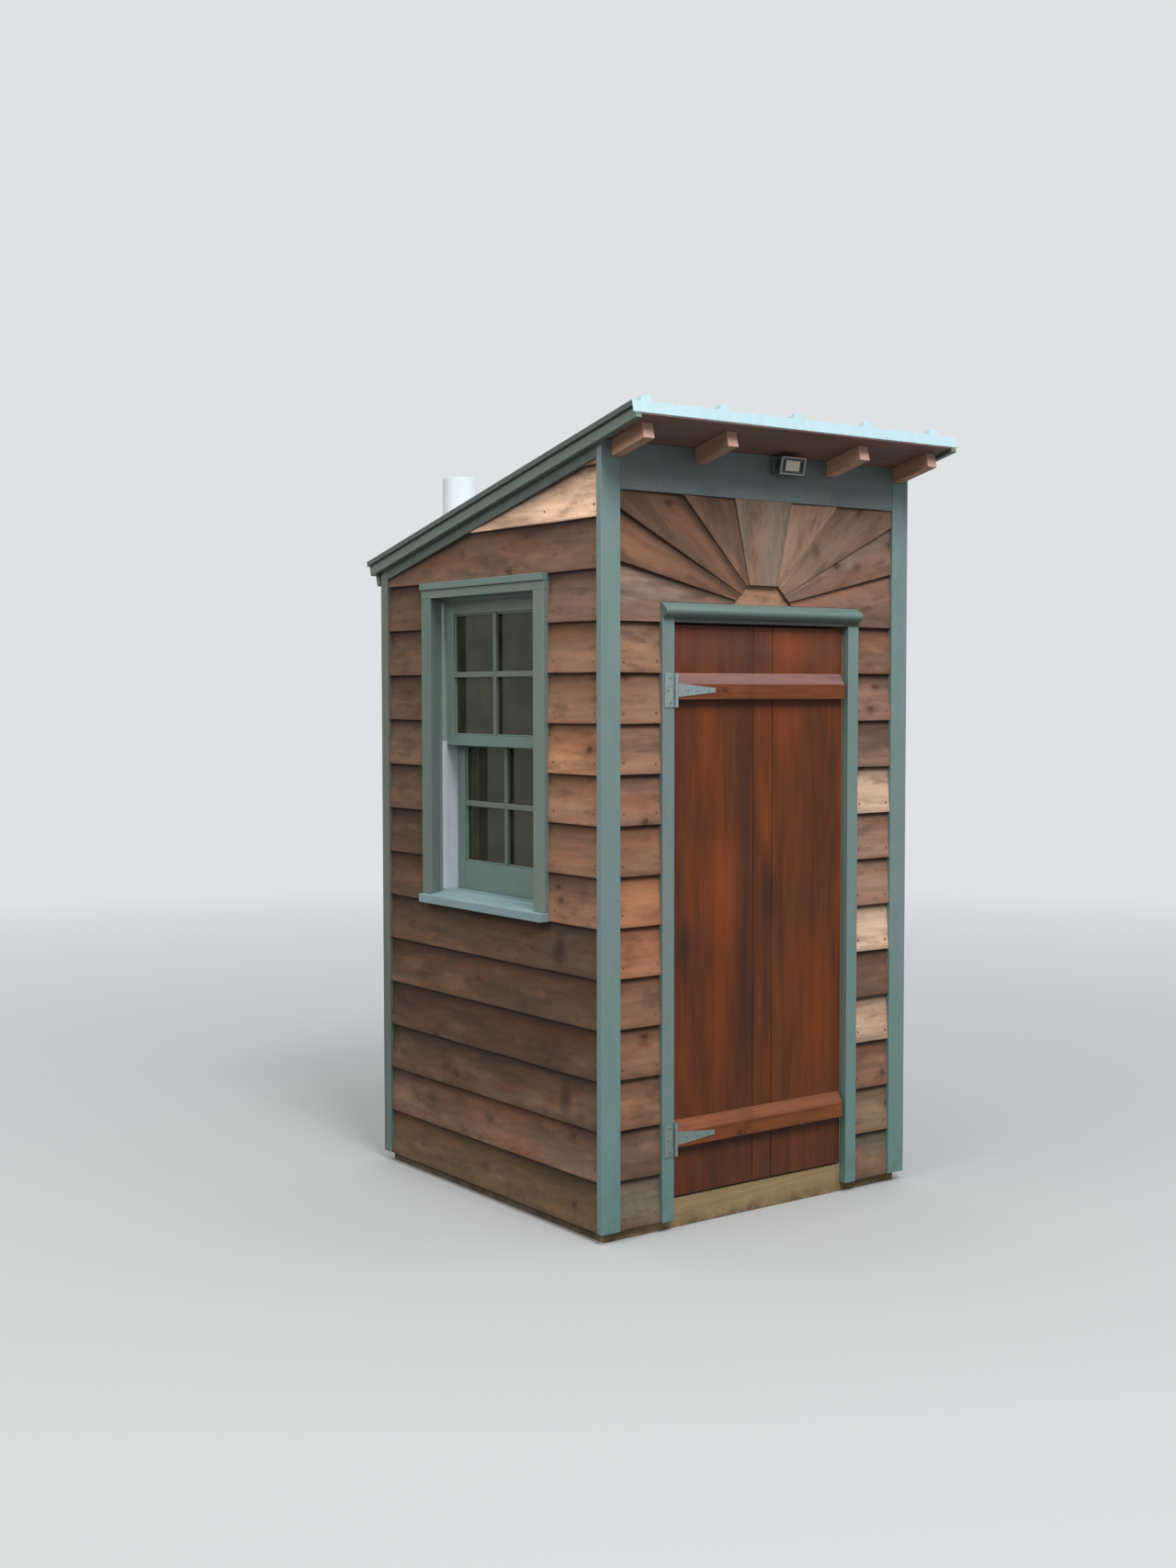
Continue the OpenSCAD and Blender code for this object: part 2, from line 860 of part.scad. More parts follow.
// The middle ray; past makes it run on at both ends
module key_outline(past = 0) {
    slant = (key_top_w - key_foot_w) / 2 / (frieze_z - hub_z);
    foot = key_foot_w / 2 - slant * past;
    top = key_top_w / 2 + slant * past;
    polygon([[-foot, hub_z - past], [foot, hub_z - past], [top, frieze_z - seat + past],
        [-top, frieze_z - seat + past]]);
}

// Outline of a ray on the right side, between two joints
module ray_outline(a0, a1) {
    difference() {
        intersection() {
            fan_panel();
            polygon([[0, fan_z], [fan_far * cos(a0), fan_z + fan_far * sin(a0)],
                [fan_far * cos(a1), fan_z + fan_far * sin(a1)]]);
        }
        hub_outline(eps);
        key_outline(eps);
    }
}

// Thins its children away from a joint at the given angle, from butt_t at the joint to tip_t at distance reach
module lapped(angle, reach) {
    intersection() {
        children();
        translate([0, -frame_y, fan_z])
            rotate([0, -angle, 0])
                rotate([-atan((butt_t - tip_t) / reach), 0, 0])
                    translate([-fan_far, -butt_t * cos(atan((butt_t - tip_t) / reach)), -fan_far / 2])
                        cube([2 * fan_far, fan_far, fan_far]);
    }
}

// A pair of rays between two joints; reach is the ray's breadth at its outer end
module ray_pair(a0, a1, reach) {
    both_sides()
        lapped(a0, reach)
            along_y(-frame_y - butt_t, -frame_y)
                ray_outline(a0, a1);
}

module fan_base_boards() {
    base_reach = fan_z + fan_x * tan(joint_low) - fan_low;
    color(cedar)
        both_sides()
            intersection() {
                along_y(-frame_y - butt_t, -frame_y)
                    difference() {
                        intersection() {
                            fan_panel();
                            polygon([[0, fan_low], [fan_x, fan_low], [fan_x, fan_z + fan_x * tan(joint_low)],
                                [0, fan_z]]);
                        }
                        hub_outline(eps);
                    }
                along_x(0, fan_x)
                    polygon([[-frame_y - butt_t, fan_low], [-frame_y + eps, fan_low],
                        [-frame_y + eps, fan_low + base_reach], [-frame_y - tip_t, fan_low + base_reach]]);
            }
}

module low_rays() {
    color([0.60, 0.38, 0.26])
        ray_pair(joint_low, joint_mid, fan_x * (tan(joint_mid) - tan(joint_low)) * cos(joint_low));
}

module middle_rays() {
    color([0.50, 0.35, 0.29])
        ray_pair(joint_mid, joint_high, fan_x / cos(joint_mid) * sin(joint_high - joint_mid));
}

module high_rays() {
    color([0.56, 0.37, 0.28])
        ray_pair(joint_high, 90, (frieze_z - fan_z) / sin(joint_high) * sin(90 - joint_high));
}

module key_ray() {
    color([0.62, 0.50, 0.42])
        along_y(-frame_y - key_t, -frame_y)
            key_outline();
}

module fan_hub() {
    color([0.80, 0.55, 0.36])
        along_y(-frame_y - hub_t, -frame_y)
            hub_outline();
}

// Window
// A rectangle in the YZ plane, centred on Y
module pane(half, z0, z1) {
    translate([-half, z0])
        square([2 * half, z1 - z0]);
}

module window_frame() {
    color(trim_green) {
        along_x(-frame_x, frame_in_x)
            difference() {
                pane(rough, sill_z, win_top + jamb_t);
                pane(win_half, sill_z - eps, win_top);
            }
        // Outer stop under the head
        along_x(stop_x, stop_x + win_stop)
            pane(win_half, win_top - win_stop, win_top);
    }
}

module window_casing() {
    color(trim_green) {
        along_x(win_x, -frame_x)
            difference() {
                pane(win_out, nose_top, win_top + win_head_h);
                pane(win_half, nose_top - eps, win_top);
            }
        along_x(win_x - win_nose / 2, -frame_x)
            pane(win_out, win_top + win_head_h - win_cap_h, win_top + win_head_h);
    }
}

module window_sill() {
    color(trim_green) {
        // Between the frame boards: level under the sashes, then a step and a slope
        along_y(-win_half, win_half)
            polygon([[win_x - win_nose, sill_z], [frame_in_x, sill_z], [frame_in_x, win_z], [stop_x, win_z],
                [stop_x, win_z - sill_step], [win_x - win_nose, nose_top]]);
        // Horns under the casings
        block([win_x - win_nose, -win_out, sill_z], [-frame_x, win_out, nose_top]);
    }
}

// Liners with a lip in front of the upper sash
module jamb_liners() {
    color("whitesmoke")
        for (side = [0, 1])
            mirror([0, side, 0]) {
                block([stop_x + win_stop, win_half - liner_t, win_z], [frame_in_x, win_half, win_top]);
                block([stop_x, win_half - win_stop, win_z], [stop_x + win_stop, win_half, win_top - win_stop]);
            }
}

// A sash with its outer face at x: stiles, two rails, a cross of glazing bars and a rebate for the glass
module sash(x, z0, z1, low_rail, high_rail) {
    mid = (z0 + low_rail + z1 - high_rail) / 2;
    difference() {
        along_x(x, x + sash_t)
            pane(sash_half, z0, z1);
        along_x(x - eps, x + sash_t + eps)
            pane(light_half, z0 + low_rail, z1 - high_rail);
        along_x(x + glass_in, x + sash_t + eps)
            pane(light_half + rebate, z0 + low_rail - rebate, z1 - high_rail + rebate);
    }
    along_x(x, x + bar_d)
        pane(bar_w / 2, z0 + low_rail - eps, z1 - high_rail + eps);
    along_x(x, x + bar_d)
        pane(light_half + eps, mid - bar_w / 2, mid + bar_w / 2);
}

module glass(x, z0, z1, low_rail, high_rail) {
    along_x(x + glass_in + fit, x + glass_in + fit + glass_t)
        pane(light_half + rebate - fit, z0 + low_rail - rebate + fit, z1 - high_rail + rebate - fit);
}

module upper_sash() {
    color(trim_green)
        sash(upper_x, upper_z, win_top - sash_play, meet_rail_h, top_rail_h);
}

module lower_sash() {
    color(trim_green)
        sash(lower_x, win_z + fit, lower_top, bottom_rail_h, meet_rail_h);
}

module window_glass() {
    color("lightblue") {
        glass(upper_x, upper_z, win_top - sash_play, meet_rail_h, top_rail_h);
        glass(lower_x, win_z + fit, lower_top, bottom_rail_h, meet_rail_h);
    }
}

// A plate on the frieze and a head that widens to the front, turned down, with its lens set in
module eave_lamp() {
    y = -half_d + frieze_set;
    head_w = lamp_w * 0.8;
    head_h = lamp_h * 0.75;
    deep = lamp_out - lamp_plate;
    rim = lamp_plate / 2;
    color("gray")
        translate([lamp_x, y, below(y, deck_t) - lamp_drop - lamp_h / 2]) {
            block([-lamp_w / 2, -lamp_plate, -lamp_h / 2], [lamp_w / 2, 0, lamp_h / 2]);
            translate([0, -lamp_plate, lamp_h / 10])
                rotate([lamp_tilt, 0, 0])
                    difference() {
                        hull() {
                            block([-head_w / 4, -eps, -head_h / 4], [head_w / 4, rim, head_h / 4]);
                            block([-head_w / 2, -deep * 0.8, -head_h / 2], [head_w / 2, -deep * 0.4, head_h / 2]);
                        }
                        block([rim - head_w / 2, -deep, rim - head_h / 2],
                            [head_w / 2 - rim, rim - deep * 0.8, head_h / 2 - rim]);
                    }
        }
}

rim_frame();
front_sill();
floor_deck();
front_frame();
left_frame();
right_frame();
rear_frame();
front_siding_left();
front_siding_right();
left_siding();
right_siding();
rear_siding();
front_corner_boards();
rear_corner_boards();
frieze_boards();
rake_trims();
barge_boards();
rear_fascia();
rafters();
roof_deck();
roof_sheet();
vent_pipe();
pipe_collar();
door_casings();
head_casing();
drip_cap();
door_stops();
hinge_leaves();
door_planks();
door_ledges();
hinge_straps();
fan_base_boards();
low_rays();
middle_rays();
high_rays();
key_ray();
fan_hub();
window_frame();
window_casing();
window_sill();
jamb_liners();
upper_sash();
lower_sash();
window_glass();
eave_lamp();
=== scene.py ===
"""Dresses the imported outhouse: boards one by one, paint, stain, metal, glass and small fasteners."""
import math
import random

import bmesh
import bpy
from mathutils import Matrix, Vector, noise


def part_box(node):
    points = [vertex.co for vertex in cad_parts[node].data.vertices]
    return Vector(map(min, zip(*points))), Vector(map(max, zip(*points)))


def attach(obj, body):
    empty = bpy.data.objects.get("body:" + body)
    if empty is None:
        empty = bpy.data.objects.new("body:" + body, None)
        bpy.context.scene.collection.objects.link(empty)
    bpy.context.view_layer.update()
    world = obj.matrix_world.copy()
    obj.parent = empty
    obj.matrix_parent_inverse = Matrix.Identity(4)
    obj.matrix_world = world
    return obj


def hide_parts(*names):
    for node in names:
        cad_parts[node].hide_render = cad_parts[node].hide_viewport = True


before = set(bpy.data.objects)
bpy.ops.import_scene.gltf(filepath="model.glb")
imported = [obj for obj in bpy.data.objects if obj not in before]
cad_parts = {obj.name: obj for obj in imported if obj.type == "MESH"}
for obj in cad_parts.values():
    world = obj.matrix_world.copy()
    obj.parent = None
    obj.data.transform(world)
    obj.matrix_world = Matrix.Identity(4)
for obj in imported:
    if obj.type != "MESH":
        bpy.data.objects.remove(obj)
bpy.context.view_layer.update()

# Sizes of the CAD model, in millimetres
HALF_W, HALF_D = 610, 620
FRAME_X, FRAME_Y = 586, 596
ROOM_X, ROOM_Y = 497, 507
STUD, JOIST_H, FLOOR_Z = 38, 89, 104
SKIRT_Z, COURSE, BUTT, TIP = 30, 146.5, 20, 8
FAN_X, CASING_X, GAP_X, CASING_Y = 542, 392, 348, -624
HEAD_Z, CAP_TOP, FRIEZE_Z = 1788, 1846, 2159
PITCH = math.radians(13.6)
ROOF_Y, EAVE_Z, ROOF_L = -797, 2376.187, 1505.2
DECK_T, RAFTER_H, RAKE_H, BARGE_T = 36, 46, 44, 20
SHEET_HALF, SHEET_T, LIP_H, SIDE_LIP_H = 638, 1.5, 32, 15
RIB_XS, RIB_H, RIB_W, RIB_TOP = (-586, -305, -24, 257, 538), 19, 48, 22
WIN_X, WIN_HALF, WIN_OUT, ROUGH = -618, 290, 347, 310
WIN_Z, WIN_TOP, SILL_Z, NOSE_TOP = 950, 1887, 905, 933
HEAD_TOP, FRAME_IN = 1936, -477.7
UPPER_X, LOWER_X, SASH_T, SASH_HALF, LIGHT_HALF = -563.7, -522.7, 35, 281.7, 238.7
UPPER_Z, LOWER_TOP, BAR_W, BAR_D = 1416, 1450, 18, 13
DOOR_BACK = -580
PIPE_X, PIPE_Y, PIPE_R = -424, 418, 57
# Where the side walls' siding ends at the rear, and the clearance between pieces
SIDING_REAR, FIT = 575.6, 0.3

X, Y, Z = Vector((1, 0, 0)), Vector((0, 1, 0)), Vector((0, 0, 1))
DOWN_ROOF = Vector((0, math.cos(PITCH), -math.sin(PITCH)))
OFF_ROOF = Vector((0, math.sin(PITCH), math.cos(PITCH)))


def roof_top(y):
    return EAVE_Z - (y - ROOF_Y) * math.tan(PITCH)


def below(y, t):
    return roof_top(y) - t / math.cos(PITCH)


def on_roof(x, s, h):
    """A point s down the roof from its front edge and h above the roof boards."""
    return Vector((x, ROOF_Y, EAVE_Z)) + DOWN_ROOF * s + OFF_ROOF * h


# From the roof's own axes, across, down and off it, to the building's; and the pipe's place down the roof
SLOPE = Matrix.Translation(on_roof(0, 0, 0)) @ Matrix((X, DOWN_ROOF, OFF_ROOF)).transposed().to_4x4()
PIPE_S = (SLOPE.inverted() @ Vector((0, PIPE_Y, roof_top(PIPE_Y)))).y


def srgb(r, g, b):
    """A colour given as it looks on screen, from 0 to 255, as linear light."""
    return tuple((c / 255 / 12.92) if c <= 10 else ((c / 255 + 0.055) / 1.055) ** 2.4 for c in (r, g, b))


def both(inner, outer):
    """The stretches from inner to outer on the two sides of the middle."""
    return (-outer, -inner), (inner, outer)


def link(name, data):
    obj = bpy.data.objects.new(name, data)
    bpy.context.scene.collection.objects.link(obj)
    return obj


# Camera, stage and light
def camera():
    """The camera fitted to the photograph: its focal length in pixels of the full frame, place and angles."""
    focal, wide, sensor = 1988.4, 1280, 36
    yaw, tilt, roll = math.radians(36.15), math.radians(-2.83), math.radians(-0.07)
    data = bpy.data.cameras.new("camera")
    data.sensor_fit = "HORIZONTAL"
    data.sensor_width = sensor
    data.lens = focal / wide * sensor
    data.clip_end = 200
    obj = link("camera", data)
    turn = (Matrix.Rotation(-yaw, 4, "Z") @ Matrix.Rotation(math.pi / 2 + tilt, 4, "X")
            @ Matrix.Rotation(roll, 4, "Z"))
    obj.matrix_world = Matrix.Translation((-3.682, -4.761, 1.581)) @ turn
    bpy.context.scene.camera = obj


camera()


class Tree:
    """The nodes of a material or a world, written as calls."""

    def __init__(self, owner):
        owner.use_nodes = True
        self.owner, self.tree = owner, owner.node_tree
        self.tree.nodes.clear()

    def feed(self, socket, value):
        if isinstance(value, bpy.types.NodeSocket):
            self.tree.links.new(value, socket)
            return
        if isinstance(value, tuple) and len(value) == 3 and len(getattr(socket, "default_value", value)) == 4:
            value = (*value, 1)
        socket.default_value = value

    def __call__(self, kind, values=None, out=0, **settings):
        """Adds a node and gives its output number out, or the node itself where out is None."""
        made = self.tree.nodes.new(kind)
        for key, value in settings.items():
            setattr(made, key, value)
        for key, value in (values or {}).items():
            self.feed(made.inputs[key], value)
        return made.outputs[out] if out is not None and made.outputs else made

    def board(self, name):
        """A board's grain, tint or place across, as Boards gives it."""
        out = {"tint": 0, "grain": 1, "across": 2}[name]
        return self("ShaderNodeAttribute", None, out, attribute_name=name)

    def place(self):
        """The place in metres, as the piece stands at rest."""
        return self("ShaderNodeTexCoord", None, 3)

    def height(self):
        """The height over the ground in metres, as the piece stands at rest."""
        return self("ShaderNodeSeparateXYZ", {0: self.place()}, 2)

    def math(self, op, a, b=0.0):
        return self("ShaderNodeMath", {0: a, 1: b}, operation=op)

    def plus(self, a, b):
        return self.math("ADD", a, b)

    def times(self, a, b):
        return self.math("MULTIPLY", a, b)

    def scaled(self, vector, scale, move=(0, 0, 0)):
        return self("ShaderNodeMapping", {"Vector": vector, "Scale": scale, "Location": move})

    def noise(self, vector, scale=1.0, detail=3.0, rough=0.5):
        values = {"Vector": vector, "Scale": scale, "Detail": detail, "Roughness": rough}
        return self("ShaderNodeTexNoise", values)

    def span(self, value, a, b, c=0.0, d=1.0):
        """The value, taken from the range a to b to the range c to d, and no further."""
        values = {"Value": value, "From Min": a, "From Max": b, "To Min": c, "To Max": d}
        return self("ShaderNodeMapRange", values)

    def swing(self, value, c, d):
        """Noise, which lies mostly between 0.3 and 0.7, taken to the range c to d."""
        return self.span(value, 0.3, 0.7, c, d)

    def blot(self, vector, scale, move, a, b, detail=3.0, rough=0.55):
        """Soft blots: noise on the scaled vector, spread from 0 at level a to 1 at level b."""
        return self.span(self.noise(self.scaled(vector, scale, move), 1, detail, rough), a, b)

    def spot(self, centre, size, soft=1.0):
        """1 at a place given in mm, falling to 0 at the given half lengths along X, Y and Z."""
        scale = [1000 / s for s in size]
        move = [-c / s for c, s in zip(centre, size)]
        far = self("ShaderNodeVectorMath", {0: self.scaled(self.place(), scale, move)}, 1, operation="LENGTH")
        return self.span(far, 1.0, 1.0 - soft)

    def splash(self, top, foot, scale, a, b, detail=5, rough=0.7):
        """Spots of soil: none at the height top, and most at the foot."""
        spots = self.span(self.noise(self.place(), scale, detail, rough), a, b)
        return self.times(self.span(self.height(), top, foot), spots)

    def mix(self, fac, a, b, blend="MIX"):
        made = self("ShaderNodeMix", None, None, data_type="RGBA", blend_type=blend)
        for key, value in ((0, fac), (6, a), (7, b)):
            self.feed(made.inputs[key], value)
        return made.outputs[2]

    def shade(self, color, by):
        """The colour times another one."""
        return self.mix(1.0, color, by, "MULTIPLY")

    def dim(self, color, value):
        """The colour times a number."""
        return self.shade(color, self("ShaderNodeCombineColor", {0: value, 1: value, 2: value}))

    def stains(self, color, *stains):
        """The colour, moved by each stain's amount towards the stain's colour where its mask is."""
        for mask, amount, to in stains:
            color = self.mix(self.times(mask, amount), color, to)
        return color

    def seen(self):
        """1 for what the camera sees, directly, mirrored or through glass, and 0 for other light."""
        path = self("ShaderNodeLightPath", None, None)
        through = self.math("MAXIMUM", path.outputs["Is Glossy Ray"], path.outputs["Is Transmission Ray"])
        return self.math("MAXIMUM", path.outputs["Is Camera Ray"], through)


def stage_and_light():
    """A pale floor that fades into a pale backdrop, under a soft sky that is brightest overhead."""
    pale = (0.74, 0.76, 0.77, 1)
    mesh = bpy.data.meshes.new("floor")
    r = 60
    mesh.from_pydata([(-r, -r, 0), (r, -r, 0), (r, r, 0), (-r, r, 0)], [], [(0, 1, 2, 3)])
    floor = link("floor", mesh)
    t = Tree(bpy.data.materials.new("floor"))
    seen = t.seen()
    color = t.mix(seen, (0.12, 0.118, 0.115), (0.42, 0.427, 0.433))
    shader = t("ShaderNodeBsdfPrincipled", {"Base Color": color, "Roughness": 0.9, "Specular IOR Level": 0.1})
    far = t("ShaderNodeVectorMath", {0: t.place()}, 1, operation="LENGTH")
    fade = t.times(t.span(far, 1.6, 9.0), seen)
    glow = t("ShaderNodeEmission", {"Color": pale, "Strength": 1.0})
    t("ShaderNodeOutputMaterial", {"Surface": t("ShaderNodeMixShader", {0: fade, 1: shader, 2: glow})})
    mesh.materials.append(t.owner)

    world = bpy.data.worlds.new("studio")
    bpy.context.scene.world = world
    t = Tree(world)
    up = t("ShaderNodeSeparateXYZ", {0: t("ShaderNodeTexCoord", None, 0)}, 2)
    sky = t.plus(t.times(t.math("MAXIMUM", up, 0.0), 1.1), 0.20)
    light = t("ShaderNodeBackground", {"Color": (0.97, 0.99, 1, 1), "Strength": sky})
    shown = t("ShaderNodeBackground", {"Color": pale, "Strength": 1.0})
    t("ShaderNodeOutputWorld", {"Surface": t("ShaderNodeMixShader", {0: t.seen(), 1: light, 2: shown})})

    for name, place, size, power, color in (("key", (-1.3, -5.5, 7.6), 3.0, 540, (1, 1, 1)),
                                            ("side", (-6.5, -0.8, 5.4), 3.0, 150, (1, 0.95, 0.88))):
        lamp = bpy.data.lights.new(name, "AREA")
        lamp.size, lamp.energy, lamp.color = size, power, color
        aim = Vector((0, 0, 1.2)) - Vector(place)
        turn = aim.to_track_quat("-Z", "Y").to_matrix().to_4x4()
        link(name, lamp).matrix_world = Matrix.Translation(place) @ turn
    bpy.context.scene.view_settings.view_transform = "Standard"


stage_and_light()


# Materials
def material(name):
    return Tree(bpy.data.materials.new(name))


def close(t, color, roughness, height, depth, strength, specular=0.5, metallic=0.0, **coat):
    """The Principled shader over a bump of the given depth in metres, and the output. Gives the material."""
    bump = t("ShaderNodeBump", {"Height": height, "Distance": depth, "Strength": strength})
    inputs = {"Base Color": color, "Roughness": roughness, "Normal": bump, "Specular IOR Level": specular,
              "Metallic": metallic, **coat}
    t("ShaderNodeOutputMaterial", {"Surface": t("ShaderNodeBsdfPrincipled", inputs)})
    return t.owner


def wood_grain(t, rings, knots):
    """Fibres, rings and knots along each board's own length, as a dict."""
    grain = t.board("grain")
    cells = {"Vector": t.scaled(grain, (4.6, 7.3, 1)), "Scale": 1.0}
    cell = t("ShaderNodeTexVoronoi", cells, None, voronoi_dimensions="2D")
    edge = t("ShaderNodeTexVoronoi", cells, None, voronoi_dimensions="2D", feature="DISTANCE_TO_EDGE")
    pick = t("ShaderNodeSeparateColor", {0: cell.outputs["Color"]})
    chosen = t.times(t.span(pick, 1 - knots, 1 - knots + 0.02), t.span(edge.outputs["Distance"], 0.0, 0.14))
    wobble = t.plus(t.swing(t.noise(grain, 60, 2), -0.035, 0.035), t.swing(t.noise(grain, 9, 1), 0.0, 0.05))
    far = t.plus(cell.outputs["Distance"], wobble)
    near = t.times(chosen, t.span(far, 0.36, 0.05))
    cloud = t.noise(t.scaled(grain, (1.6, 9, 9)), 1, 3, 0.55)
    parts = t("ShaderNodeSeparateXYZ", {0: grain}, None)
    radial = t.plus(parts.outputs[1], t.times(parts.outputs[2], 0.6))
    phase = t.plus(t.times(radial, rings * 6.28), t.plus(t.times(cloud, 30.0), t.times(near, 6.0)))
    return {
        "grain": grain,
        "knot": t.times(chosen, t.span(far, 0.125, 0.035)),
        "halo": t.times(chosen, t.span(far, 0.26, 0.06)),
        "ring": t.span(t.math("SINE", phase), -1, 1),
        "large": t.noise(t.scaled(grain, (1.9, 8, 8), (3, 1, 7)), 1, 3, 0.55),
        "middle": t.noise(t.scaled(grain, (6, 30, 30), (5, 2, 4)), 1, 4, 0.6),
        "fibre": t.noise(t.scaled(grain, (5, 130, 130)), 1, 5, 0.65),
        "fine": t.noise(t.scaled(grain, (16, 620, 620)), 1, 2, 0.6),
    }


def toned(t, w, large, middle, fibre, ring):
    """The board's tint under its blots, streaks, fibres and rings, each with its own reach."""
    tone = t.plus(t.swing(w["large"], 1 - large, 1 + large), t.swing(w["middle"], -middle, middle))
    tone = t.plus(tone, t.swing(w["fibre"], -fibre, fibre))
    return t.dim(t.board("tint"), t.plus(tone, t.span(w["ring"], 0, 1, -ring, ring)))


def relief(t, w, fibre, fine):
    return t.plus(t.times(w["fibre"], fibre), t.times(w["fine"], fine))


def cedar(name, lit=1.0, top=1.0):
    """Weathered cedar. Each board's own colour is in its tint, multiplied by lit towards its lower edge and
    by top towards the board above: painted light and shade across the board."""
    t = material(name)
    w = wood_grain(t, 34, 0.26)
    grain, across = w["grain"], t.board("across")
    # Weather: grey and dark stains, and patches where the red heart still shows, fewer on a dark board
    bright = t.span(t("ShaderNodeRGBToBW", {0: t.board("tint")}), 0.03, 0.13, 0.30, 1.0)
    heart = t.times(bright, t.blot(grain, (1.8, 8, 8), (9, 5, 3), 0.50, 0.70))
    tan = t.times(bright, t.blot(grain, (7, 20, 20), (2, 9, 5), 0.56, 0.70, 3, 0.6))
    color = t.stains(
        toned(t, w, 0.20, 0.16, 0.08, 0.04),
        (t.blot(grain, (2.6, 13, 13), (4, 2, 1), 0.52, 0.68, 4, 0.6), 0.50, srgb(66, 52, 44)),
        (heart, 0.40, srgb(164, 102, 66)),
        (t.blot(grain, (2.2, 10, 10), (1, 8, 6), 0.56, 0.72), 0.26, srgb(142, 126, 110)),
        (t.blot(grain, (9, 24, 24), (6, 3, 8), 0.54, 0.68, 3, 0.6), 0.38, srgb(64, 48, 40)),
        (tan, 0.28, srgb(176, 126, 92)),
        (w["halo"], 0.42, srgb(88, 56, 41)),
        (w["knot"], 0.72, srgb(52, 35, 28)))
    # Large knots and marks that show in the photograph
    for centre, size, amount in (
        ((219, -614, 2016), (26, 40, 34), 0.55), ((396, -614, 1978), (20, 40, 26), 0.45),
        ((-604, 234, 379), (40, 40, 22), 0.55), ((-604, -20, 258), (34, 40, 26), 0.55),
        ((-604, 326, 272), (40, 40, 24), 0.40), ((-604, 2, 96), (34, 40, 26), 0.50),
        ((-604, -216, 644), (70, 40, 34), 0.35), ((-604, 386, 655), (60, 40, 30), 0.30),
        ((520, -614, 362), (16, 40, 15), 0.70), ((-604, -430, 396), (190, 40, 76), 0.75),
        ((-604, -400, 832), (230, 40, 66), 0.78),
    ):
        color = t.stains(color, (t.spot(centre, size, 0.8), amount, srgb(50, 36, 32)))
    # Painted light and shade across the board: lighter towards its lower edge, darker under the board above
    color = t.dim(color, t.span(across, 0.40, 0.90, lit, top))
    # Painted shade under the board or ray above, and darker along the lower edge
    shade = t.math("MAXIMUM", t.span(across, 0.80, 1.0, 0.0, 0.68), t.span(across, 0.05, 0.0, 0.0, 0.30))
    color = t.mix(shade, color, srgb(48, 37, 32))
    color = t.stains(color, (t.splash(0.22, 0.03, 21, 0.36, 0.64), 0.45, srgb(76, 62, 50)))
    height = t.math("SUBTRACT", relief(t, w, 0.55, 0.35), t.times(w["knot"], 0.2))
    return close(t, color, t.swing(w["fibre"], 0.74, 0.9), height, 0.0014, 0.7, 0.25)


def paint(name, base, dirty=0.3):
    """Brushed outdoor paint over wood, in the base colour times the board's tint."""
    t = material(name)
    grain = t.board("grain")
    brush = t.noise(t.scaled(grain, (3, 210, 210)), 1, 3, 0.6)
    cloud = t.noise(t.place(), 5.5, 4, 0.6)
    tinted = t.shade(base, t.board("tint"))
    color = t.dim(tinted, t.plus(t.swing(brush, 0.95, 1.04), t.swing(cloud, -0.07, 0.06)))
    # Patches that have turned a little greener and a little bluer
    shift = t.noise(t.place(), 11, 3, 0.6)
    color = t.mix(t.span(shift, 0.50, 0.68, 0, 0.5), color, t.shade(tinted, (0.78, 1.0, 0.86, 1)))
    color = t.mix(t.span(shift, 0.48, 0.32, 0, 0.5), color, t.shade(tinted, (1.12, 1.04, 1.16, 1)))
    # Chalk and grime; a green cast towards the ground, painted light; the rear corner board darker low down,
    # painted shade; and soil with flecks
    color = t.stains(
        color,
        (t.blot(grain, (5, 26, 26), (3, 8, 2), 0.56, 0.78, 4, 0.65), 0.20, srgb(146, 162, 158)),
        (t.blot(grain, (2.4, 15, 15), (7, 1, 5), 0.55, 0.75, 4, 0.6), 0.20, srgb(72, 88, 82)),
        (t.span(t.height(), 0.85, 0.05), 0.5, srgb(88, 140, 134)),
        (t.spot((-598, 620, 420), (60, 60, 640)), 0.55, srgb(58, 60, 52)),
        (t.splash(0.28, 0.03, 26, 0.42, 0.66), dirty, srgb(82, 68, 52)),
        (t.span(t.noise(t.place(), 120, 2, 0.5), 0.66, 0.76), 0.35, srgb(62, 66, 60)))
    return close(t, color, t.swing(cloud, 0.42, 0.62), brush, 0.0007, 0.7)


def rafter_stain():
    """Oiled softwood of the rafters and roof boards; their sawn front ends are lighter, as painted light."""
    t = material("rafter_stain")
    w = wood_grain(t, 30, 0.22)
    color = t.stains(
        toned(t, w, 0.12, 0.12, 0.07, 0.06),
        (t.blot(w["grain"], (2.2, 12, 12), (5, 1, 6), 0.48, 0.74), 0.35, srgb(150, 92, 58)),
        (w["knot"], 0.7, srgb(60, 36, 24)),
        # A lighter patch at the front of the eave and the lighter front ends: painted light
        (t.spot((-360, -760, 2350), (420, 110, 120)), 0.5, srgb(160, 140, 132)),
        (t.span(t.board("across"), 0.6, 0.9), 0.8, srgb(206, 168, 152)))
    return close(t, color, t.swing(w["fibre"], 0.50, 0.68), relief(t, w, 0.6, 0.2), 0.0008, 0.6, 0.35)


